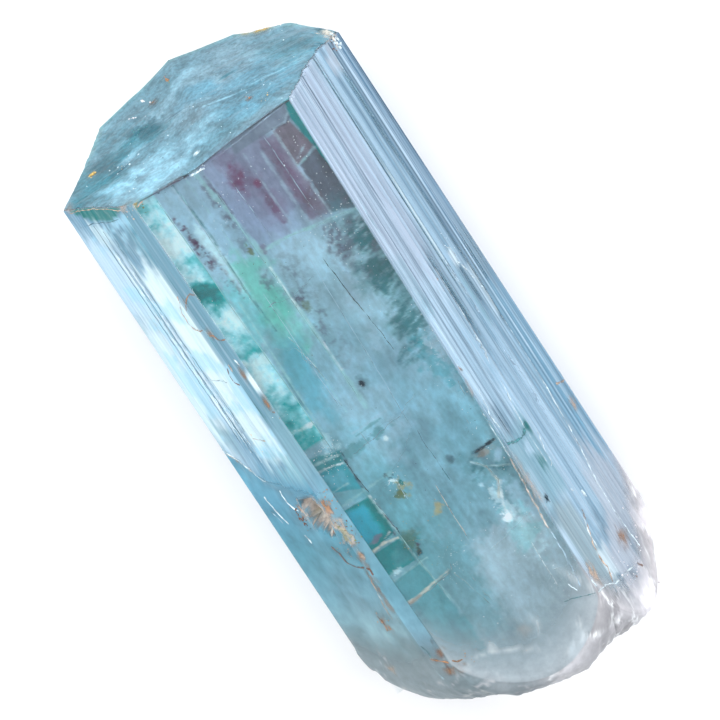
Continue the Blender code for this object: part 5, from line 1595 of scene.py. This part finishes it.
THREADS = (
    # face, colour, half width, cover, route of (share across the face, place along the crystal)
    (LEFT_STRIP, RUST, 0.07, 0.9, ((1.0, 16.5), (0.7, 16.85), (0.3, 16.5), (0.02, 16.1))),
    (LEFT, RUST, 0.05, 0.8, ((0.99, 16.1), (0.955, 15.6))),
    (LEFT, TAN, 0.06, 0.9, ((0.96, 17.0), (0.89, 16.0), (0.857, 15.4), (0.845, 14.4), (0.88, 13.7),
      (0.99, 13.6))),
    (LEFT, RUST, 0.05, 0.9, ((0.86, 14.0), (0.9, 13.55), (0.99, 13.65))),
    (LEFT_STRIP, RUST, 0.07, 0.9, ((0.1, 13.0), (0.35, 13.0), (0.45, 12.6), (0.6, 12.4), (0.95, 12.3))),
    (LEFT_STRIP, TAN, 0.05, 0.8, ((0.05, 10.3), (0.1, 10.0), (0.02, 9.6))),
    (LEFT, DARK_RUST, 0.05, 0.9, ((0.97, 10.0), (0.92, 9.2), (0.92, 8.8), (0.988, 8.3))),
    (LEFT, DARK_GREEN, 0.05, 0.9, ((0.58, 9.05), (0.62, 9.0))),
    (LEFT, INK, 0.06, 0.9, ((0.69, 9.0), (0.72, 8.95))),
    (LEFT, INK, 0.05, 0.9, ((0.8, 8.8), (0.82, 8.7))),
    (LEFT, DARK_GREEN, 0.03, 0.7, ((0.6, 9.05), (0.8, 8.8))),
    (LEFT_STRIP, RUST, 0.12, 0.9, ((0.8, 6.0), (0.75, 5.8))),
    (LEFT_STRIP, RUST, 0.12, 0.9, ((0.8, 5.4), (0.85, 5.2))),
    (LEFT_STRIP, RUST, 0.1, 0.9, ((0.95, 4.8), (0.9, 4.6))),
    (LEFT_STRIP, WHITE_GLARE, 0.05, 0.9, ((0.6, 10.6), (0.75, 9.9))),
    (LEFT, WHITE_GLARE, 0.1, 1.0, ((0.012, 2.5), (0.06, 2.0), (0.179, 1.38), (0.238, 0.65),
      (0.286, -0.2))),
    (LEFT, WHITE_GLARE, 0.06, 1.0, ((0.286, -0.2), (0.33, -0.5), (0.39, -0.8))),
    (LEFT, TAN, 0.09, 0.9, ((0.02, 2.15), (0.09, 1.65), (0.17, 1.05))),
    (LEFT, TAN, 0.06, 0.7, ((0.62, 3.4), (0.68, 3.3), (0.75, 3.1), (0.8, 2.9))),
    (LEFT, WHITE_GLARE, 0.1, 1.0, ((0.47, -1.7), (0.45, -2.4), (0.45, -3.0), (0.5, -3.5), (0.56, -3.8))),
    (LEFT, WHITE_GLARE, 0.07, 0.9, ((0.16, -2.2), (0.18, -3.0), (0.2, -3.7), (0.25, -5.0))),
    (LEFT, ICE, 0.05, 0.8, ((0.12, -3.6), (0.16, -4.3), (0.19, -4.9))),
    (LEFT, WHITE_GLARE, 0.08, 0.9, ((0.385, -6.1), (0.4, -6.5), (0.405, -6.95))),
    (LEFT, DARK_RUST, 0.1, 0.9, ((0.7, -7.3), (0.76, -8.0), (0.774, -8.9), (0.86, -9.4), (0.98, -9.5))),
    (LEFT_STRIP, DARK_RUST, 0.1, 0.95, ((0.0, -9.6), (0.2, -9.8), (0.12, -10.4))),
    (LEFT, RUST, 0.08, 0.9, ((0.985, -10.3), (0.952, -10.9))),
    (LEFT, TAN, 0.05, 0.7, ((0.95, -10.9), (0.94, -11.7), (0.9, -12.8), (0.88, -13.6), (0.88, -14.6))),
    (LEFT, WHITE_GLARE, 0.04, 0.8, ((0.93, -12.0), (0.9, -13.0))),
    (LEFT, RUST, 0.07, 0.7, ((0.68, -14.2), (0.72, -14.8), (0.7, -15.6))),
    (LEFT_STRIP, DARK_GREEN, 0.05, 0.8, ((0.1, -17.4), (0.18, -18.0), (0.2, -18.7))),
    (LEFT_STRIP, RUST, 0.09, 0.8, ((0.15, -18.7), (0.5, -19.1), (0.95, -19.6))),
    (FRONT, RUST, 0.08, 0.8, ((0.01, -19.5), (0.035, -19.8), (0.07, -19.9))),
    (FRONT, PIT_CREAM, 0.08, 0.75, ((0.975, -8.3), (0.972, -9.6), (0.965, -11.0), (0.96, -12.4),
      (0.955, -13.6), (0.95, -14.8))),
    (FRONT, WHITE_GLARE, 0.05, 0.8, ((0.985, -4.0), (0.98, -6.0), (0.985, -8.2))),
    (FRONT, ICE, 0.05, 0.7, ((0.95, -15.0), (0.95, -17.0), (0.94, -19.0), (0.93, -20.3))),
    (RIGHT, WHITE_GLARE, 0.05, 0.8, ((0.1, -2.6), (0.076, -3.8), (0.05, -4.8), (0.068, -6.0))),
    (RIGHT, RUST, 0.12, 0.8, ((0.04, 0.1), (0.05, -0.2), (0.062, -0.5))),
    (RIGHT, WHITE_GLARE, 0.12, 0.9, ((0.03, 0.4), (0.045, 0.1))),
    (RIGHT, TAN, 0.1, 0.8, ((0.45, 6.3), (0.46, 5.4))),
    (RIGHT, INK, 0.08, 0.95, ((0.225, 11.3), (0.228, 11.1))),
    (RIGHT_STRIP, TAN, 0.12, 0.8, ((0.4, -9.2), (0.55, -9.4), (0.95, -9.9))),
    (RIGHT, DARK_GREEN, 0.16, 0.9, ((0.05, -7.4), (0.15, -7.9), (0.25, -8.3), (0.35, -8.3),
      (0.42, -7.9))),
    (RIGHT, WHITE_GLARE, 0.05, 0.85, ((0.48, -9.4), (0.46, -10.6), (0.41, -12.2))),
    (RIGHT, INK, 0.03, 0.8, ((0.07, -12.7), (0.11, -13.5))),
    (RIGHT, INK, 0.03, 0.8, ((0.06, -13.2), (0.12, -13.0))),
    (LEFT, DEEP_TEAL, 0.025, 0.8, ((0.37, 24.0), (0.38, 14.0), (0.385, 3.0))),
    (LEFT, DEEP_TEAL, 0.03, 0.8, ((0.45, 23.4), (0.45, 12.0), (0.46, 2.0))),
    (LEFT, DEEP_TEAL, 0.025, 0.7, ((0.54, 22.0), (0.53, 12.0), (0.55, 4.0))),
    (LEFT, WHITE_GLARE, 0.03, 0.8, ((0.42, 22.0), (0.42, 12.0), (0.43, 2.0))),
    (LEFT, WHITE_GLARE, 0.03, 0.8, ((0.49, 20.0), (0.49, 10.0), (0.5, 1.0))),
    (LEFT, DEEP_TEAL, 0.04, 0.7, ((0.14, 24.0), (0.4, 24.2), (0.7, 24.2), (0.86, 24.4))),
    (RIGHT, WHITE_GLARE, 0.07, 0.8, ((0.985, -1.5), (0.982, -3.3), (0.977, -8.0), (0.94, -10.6),
      (0.917, -12.6))),
    (RIGHT, WHITE_GLARE, 0.08, 0.85, ((0.917, -12.6), (0.87, -15.0), (0.835, -17.0), (0.811, -20.1),
      (0.85, -23.5))),
    (RIGHT, WHITE_GLARE, 0.05, 0.8, ((0.52, 10.0), (0.5, 3.0), (0.47, -2.0), (0.4, -6.0), (0.36, -9.0),
      (0.38, -11.5))),
    (RIGHT, ICE, 0.06, 0.8, ((0.7, 6.0), (0.72, 0.0), (0.76, -6.0), (0.72, -12.0))),
    (RIGHT, WHITE_GLARE, 0.1, 0.9, ((0.84, 6.4), (0.87, 5.6), (0.89, 5.0))),
    (RIGHT, WHITE_GLARE, 0.08, 0.8, ((0.86, 4.6), (0.9, 3.6), (0.95, 2.4))),
    (RIGHT, WHITE_GLARE, 0.1, 0.9, ((0.96, 1.6), (0.985, 0.6), (0.97, -0.4))),
    (RIGHT, TAN, 0.1, 0.8, ((0.43, -16.6), (0.4, -17.6), (0.3, -19.0), (0.28, -20.0), (0.3, -21.4),
      (0.25, -22.4))),
    (RIGHT, WHITE_GLARE, 0.09, 0.9, ((0.4, -17.0), (0.34, -18.2), (0.33, -19.5))),
    (RIGHT, WHITE_GLARE, 0.22, 0.9, ((0.57, -15.8), (0.585, -16.5))),
    (RIGHT, WHITE_GLARE, 0.16, 0.9, ((0.45, -14.7), (0.47, -15.1))),
    (RIGHT, WHITE_GLARE, 0.2, 0.8, ((0.02, -20.4), (0.03, -21.1))),
    (FRONT, WHITE_GLARE, 0.06, 0.9, ((0.87, -19.5), (0.89, -20.1), (0.9, -20.4))),
    (FRONT, DARK_GREEN, 0.05, 0.6, ((0.79, -20.6), (0.84, -20.7), (0.9, -21.0), (0.99, -21.4))),
    (RIGHT, WHITE_GLARE, 0.1, 0.8, ((0.01, -21.5), (0.15, -21.9), (0.29, -22.8), (0.45, -23.2),
      (0.63, -23.7))),
    (RIGHT, DARK_RUST, 0.1, 0.9, ((0.68, -23.9), (0.735, -24.6))),
    (RIGHT, DARK_RUST, 0.09, 0.9, ((0.575, -24.2), (0.58, -24.5))),
    (FRONT, BARK, 0.04, 0.7, ((0.055, 25.15), (0.1, 25.1), (0.15, 25.05), (0.21, 24.98), (0.27, 24.85),
      (0.33, 24.75))),
    (FRONT, WHITE_GLARE, 0.08, 0.9, ((0.33, 24.66), (0.38, 24.6), (0.415, 24.58))),
    (FRONT, ICE, 0.03, 0.45, ((0.42, 24.6), (0.5, 24.72), (0.6, 24.84), (0.75, 25.05), (0.97, 25.3))),
    (FRONT, TAN, 0.05, 0.8, ((0.01, 24.9), (0.03, 25.05), (0.055, 25.1))),
    (LEFT_STRIP, ICE, 0.05, 0.9, ((0.99, 24.2), (0.97, 20.0), (0.99, 17.2))),
    (LEFT_STRIP, TAN, 0.05, 0.8, ((0.95, 24.6), (0.97, 23.4))),
    (LEFT, TAN, 0.05, 0.85, ((0.1, 25.3), (0.25, 25.45), (0.4, 25.5), (0.6, 25.5), (0.8, 25.4),
      (0.98, 25.1))),
)
BEAD_STEP = 0.08
BEAD_EDGE, BEAD_RIDGE = 0.015, 0.05    # how far a bead's borders and its middle stand out


def face_width(face):
    """Width of a face halfway along the crystal."""
    columns = np.flatnonzero(column_faces == face)
    middle_row = rows[SIDE_FIRST + SIDE_ROWS // 2]
    return np.linalg.norm(middle_row[columns[-1]] - middle_row[columns[0]])


def on_surface(face, shares, x):
    """Points of the crystal's surface at shares across a face and places along it, from the nearest
    rows of its mesh, with the directions that point inwards there."""
    columns = np.flatnonzero(column_faces == face)
    column = np.interp(shares, column_shares[columns], columns)
    low = np.clip(np.floor(column).astype(int), columns[0], columns[-1])
    high = (low + 1) % rows.shape[1]
    row = SIDE_FIRST + np.abs(rows[SIDE_FIRST:TOP_FIRST, low, 0] - x).argmin(axis=0)
    share = (column - low)[:, None]
    points = blend(rows[row, low], rows[row, high], share)
    points[:, 0] = x
    return points, into_rows[row, low]


def make_threads():
    """Each thread is a flat bead three points wide along its route, which noise shakes, pinched at its
    ends, raised in the middle and thinly covered along its borders."""
    grids, paints = [], []
    for number, (face, colour, half, cover, route) in enumerate(THREADS):
        width = face_width(face)
        flat = np.array(route) * np.array([width, 1.0])
        gone, along = paced(flat, BEAD_STEP)
        line = np.stack([along, np.full_like(along, number)], axis=-1)
        across = np.interp(along, gone, flat[:, 0]) + 0.05 * cloud(line, 0.5, 1001)
        x = np.interp(along, gone, flat[:, 1]) + 0.03 * cloud(line, 0.5, 1002)
        aside = np.gradient(np.stack([across, x], axis=-1), axis=0)
        aside = np.stack([-aside[:, 1], aside[:, 0]], axis=-1) / np.maximum(np.hypot(*aside.T), 1e-9)[:, None]
        wide = half * np.clip(np.minimum(along, along[-1] - along) / (1.5 * half) + 0.3, 0, 1)
        wide = wide * (1 + 0.5 * cloud(line, 0.35, 1003))
        grid = np.empty((3, len(along), 3))
        for part, (side, lift) in enumerate(((-1, BEAD_EDGE), (0, BEAD_RIDGE), (1, BEAD_EDGE))):
            place = np.stack([across, x], axis=-1) + aside * (side * wide)[:, None]
            point, into = on_surface(face, np.clip(place[:, 0] / width, 0, 1), place[:, 1])
            grid[part] = point - into * lift
        grids.append(np.clip(grid, BOX_LOW, BOX_HIGH))
        paint = np.ones((3, len(along), 4))
        shade = 1 + 0.5 * cloud(grid, 0.4, 1004)
        paint[..., :3] = np.array(colour) * np.clip(shade, 0.3, 1.6)[..., None]
        paint[..., 3] = np.clip(cover + 0.5 * cloud(grid, 0.6, 1005), 0.05, 1)
        paint[::2, :, 3] *= 0.3
        paints.append(paint)
    piece_of_grids("edge_threads", grids, paints,
                   painted("thread_crust", 0.4, 0.4, (4, 4, 4), 0.4, 0.4, 0.02))


make_threads()

# ---------------------------------------------------------------------------------------------------
# Grains.  Crumbs of chipped beryl and rust stick in the pit, along the broken corners and on the top face:
# small eight-sided grains half sunk in the surface.  The white-glare ones are painted glints.

CRUMBS = (
    # face, colour, count, middle (share, place along), spread in mm (across, along), largest radius
    (LEFT_STRIP, RUST, 30, (0.45, -3.2), (0.35, 0.6), 0.1),
    (LEFT_STRIP, DARK_RUST, 24, (0.3, -5.8), (0.4, 0.9), 0.1),
    (LEFT, DARK_RUST, 40, (0.52, -4.5), (0.25, 0.55), 0.13),
    (LEFT, WHITE_GLARE, 7, (0.74, -4.0), (0.4, 0.6), 0.09),
    (LEFT, PIT_CREAM, 16, (0.72, -4.4), (0.4, 0.6), 0.1),
    (LEFT_STRIP, OLIVE, 26, (0.4, -6.3), (0.4, 0.8), 0.11),
    (LEFT, RUST, 22, (0.86, -7.2), (0.5, 0.9), 0.09), (LEFT, RUST, 22, (0.72, -15.4), (0.35, 0.7), 0.09),
    (RIGHT_STRIP, WHITE_GLARE, 36, (0.5, 24.2), (0.35, 0.35), 0.16),
    (RIGHT_STRIP, INK, 16, (0.3, 24.3), (0.35, 0.3), 0.12),
    (RIGHT_STRIP, DARK_RUST, 10, (0.1, 24.4), (0.25, 0.3), 0.13),
    (RIGHT, WHITE_GLARE, 12, (0.04, 25.2), (0.3, 0.2), 0.1),
    (RIGHT, INK, 10, (0.35, 25.2), (1.2, 0.12), 0.08),
    (FRONT, WHITE_GLARE, 16, (0.39, 24.6), (0.35, 0.15), 0.09),
    (FRONT, INK, 20, (0.22, 24.95), (1.0, 0.1), 0.07), (FRONT, OLIVE, 8, (0.04, 24.5), (0.2, 0.3), 0.1),
    (RIGHT, SUGAR, 22, (0.5, -23.6), (1.6, 0.9), 0.1), (RIGHT, SUGAR, 18, (0.85, -23.4), (0.8, 1.4), 0.1),
    (RIGHT, WHITE_GLARE, 20, (0.9, 4.5), (0.3, 1.8), 0.06),
    (RIGHT, SUGAR, 12, (0.35, -22.0), (0.8, 1.0), 0.12), (LEFT, OCHRE, 20, (0.55, 3.2), (0.6, 0.5), 0.06),
    (LEFT_STRIP, TAN, 14, (0.5, 24.6), (0.4, 0.3), 0.08),
    (FRONT, RUST, 12, (0.3, -20.5), (2.0, 0.8), 0.05), (FRONT, RUST, 14, (0.08, -19.8), (0.5, 0.3), 0.07),
)
TOP_CRUMBS = (
    # colour, count, middle (y, z), spread, largest radius
    (WHITE_GLARE, 80, (2.0, 11.0), (4.5, 3.5), 0.07), (INK, 26, (3.0, 12.0), (4.0, 3.0), 0.06),
    (RUST, 12, (0.9, 2.7), (0.3, 0.25), 0.14), (OLIVE, 10, (0.7, 3.1), (0.3, 0.3), 0.12),
    (SUGAR, 16, (3.5, 3.2), (0.3, 0.6), 0.12), (OCHRE, 8, (9.0, 8.1), (0.25, 0.2), 0.12),
    (OCHRE, 10, (6.6, 9.6), (1.2, 0.8), 0.06), (RUST, 8, (-4.2, 13.3), (0.25, 0.2), 0.09),
    (DARK_GREEN, 40, (4.3, 6.1), (0.7, 0.6), 0.1), (OCHRE, 8, (-4.9, 15.1), (0.3, 0.25), 0.09),
    (WHITE_GLARE, 14, (-9.2, 2.6), (0.6, 0.3), 0.09), (WHITE_GLARE, 20, (-5.0, 12.8), (1.6, 1.6), 0.06),
    (INK, 8, (6.3, 9.4), (0.3, 0.2), 0.08), (WHITE_GLARE, 24, (6.4, 9.8), (0.8, 0.6), 0.09),
)


def make_crumbs():
    """Crumbs drawn from a bell curve round each middle, on the side faces and then on the top, where
    each takes the place of the nearest of every third point of the mesh."""
    rng = np.random.default_rng(4321)
    on_lid = rows[TOP_FIRST:].reshape(-1, 3)[::3]
    centres, radii, colours = [], [], []
    for face, colour, count, middle, spread, radius in CRUMBS:
        shares = np.clip(middle[0] + rng.normal(size=count) * spread[0] / face_width(face), 0.01, 0.99)
        centres.append(on_surface(face, shares, middle[1] + rng.normal(size=count) * spread[1])[0])
        radii.append(grain_sizes(radius, count, rng))
        colours.append(np.broadcast_to(np.array(colour), (count, 3)))
    for colour, count, middle, spread, radius in TOP_CRUMBS:
        place = np.array(middle) + rng.normal(size=(count, 2)) * np.array(spread)
        far = ((place[:, None] - on_lid[None, :, 1:]) ** 2).sum(-1)
        centres.append(on_lid[far.argmin(axis=1)])
        radii.append(grain_sizes(radius, count, rng))
        colours.append(np.broadcast_to(np.array(colour), (count, 3)))
    points, faces, paint = grains(centres, radii, colours, rng)
    painted_piece("surface_crumbs", np.clip(points, BOX_LOW, BOX_HIGH), faces, paint,
                  painted("crumb", 0.3, 0.5, (3, 3, 3), 0.3, 0.0))


make_crumbs()

# ---------------------------------------------------------------------------------------------------
# The stage: a pale floor, soft studio light from both sides and beyond the top end, even light all
# round, and the camera above the crystal's top end.

FLOOR_LEVEL = -0.0002        # just clear of the crystal's back face
FLOOR_HALF = 1.5


def make_floor():
    """A plain pale floor under the crystal."""
    mesh = bpy.data.meshes.new("floor")
    corners = [(x * FLOOR_HALF, y * FLOOR_HALF, FLOOR_LEVEL) for x, y in ((-1, -1), (1, -1), (1, 1), (-1, 1))]
    mesh.from_pydata(corners, [], [(0, 1, 2, 3)])
    floor = bpy.data.objects.new("floor", mesh)
    bpy.context.scene.collection.objects.link(floor)
    material, *_, shader = new_material("floor_paper")
    shader.inputs["Base Color"].default_value = (0.9, 0.9, 0.9, 1)
    shader.inputs["Roughness"].default_value = 0.9
    mesh.materials.append(material)


def make_light(name, place, aim, size, watts, colour):
    """A rectangular soft light of this size at a place in millimetres that shines towards the aim."""
    lamp = bpy.data.lights.new(name, "AREA")
    lamp.shape = "RECTANGLE"
    lamp.size, lamp.size_y = size[0] * MM, size[1] * MM
    lamp.energy = watts
    lamp.color = colour
    light = bpy.data.objects.new(name, lamp)
    bpy.context.scene.collection.objects.link(light)
    light.location = Vector(place) * MM
    light.rotation_euler = (Vector(aim) - Vector(place)).to_track_quat("-Z", "Y").to_euler()


def make_world():
    """Even pale light all round."""
    world = bpy.data.worlds.new("studio")
    world.use_nodes = True
    background = world.node_tree.nodes["Background"]
    background.inputs["Color"].default_value = (0.9, 0.94, 1.0, 1)
    background.inputs["Strength"].default_value = 0.4
    bpy.context.scene.world = world


def make_camera():
    """A long lens above the crystal's top end, rolled so that the crystal lies across the picture."""
    elevation, roll = math.radians(70.5), math.radians(33.5)
    aim = Vector((5.05, -0.15, 17.8)) * MM
    distance = 0.6
    back = Vector((math.cos(elevation), 0, math.sin(elevation)))
    right = Vector((0, -1, 0))
    up = Vector((math.sin(elevation), 0, -math.cos(elevation)))
    rolled_right = math.cos(roll) * right - math.sin(roll) * up
    rolled_up = math.sin(roll) * right + math.cos(roll) * up
    lens = bpy.data.cameras.new("camera")
    lens.sensor_width = 36.0
    lens.lens = 396.3
    lens.clip_start = 0.01
    lens.clip_end = 10.0
    camera = bpy.data.objects.new("camera", lens)
    bpy.context.scene.collection.objects.link(camera)
    camera.matrix_world = Matrix.Translation(aim + back * distance) @ Matrix(
        (rolled_right, rolled_up, back)).transposed().to_4x4()
    bpy.context.scene.camera = camera


make_floor()
make_light("left_softbox", (60, 420, 300), (0, 0, 8), (460, 380), 2.6, (1.0, 1.0, 1.0))
make_light("right_softbox", (60, -420, 300), (0, 0, 8), (460, 380), 2.6, (0.95, 0.95, 1.0))
make_light("end_softbox", (330, 0, 330), (0, 0, 8), (300, 300), 1.7, (1.0, 1.0, 1.0))
make_world()
make_camera()
bpy.context.scene.view_settings.view_transform = "Standard"
bpy.context.scene.cycles.max_bounces = 24
bpy.context.scene.cycles.diffuse_bounces = 8
bpy.context.scene.cycles.transmission_bounces = 24
bpy.context.scene.cycles.transparent_max_bounces = 32
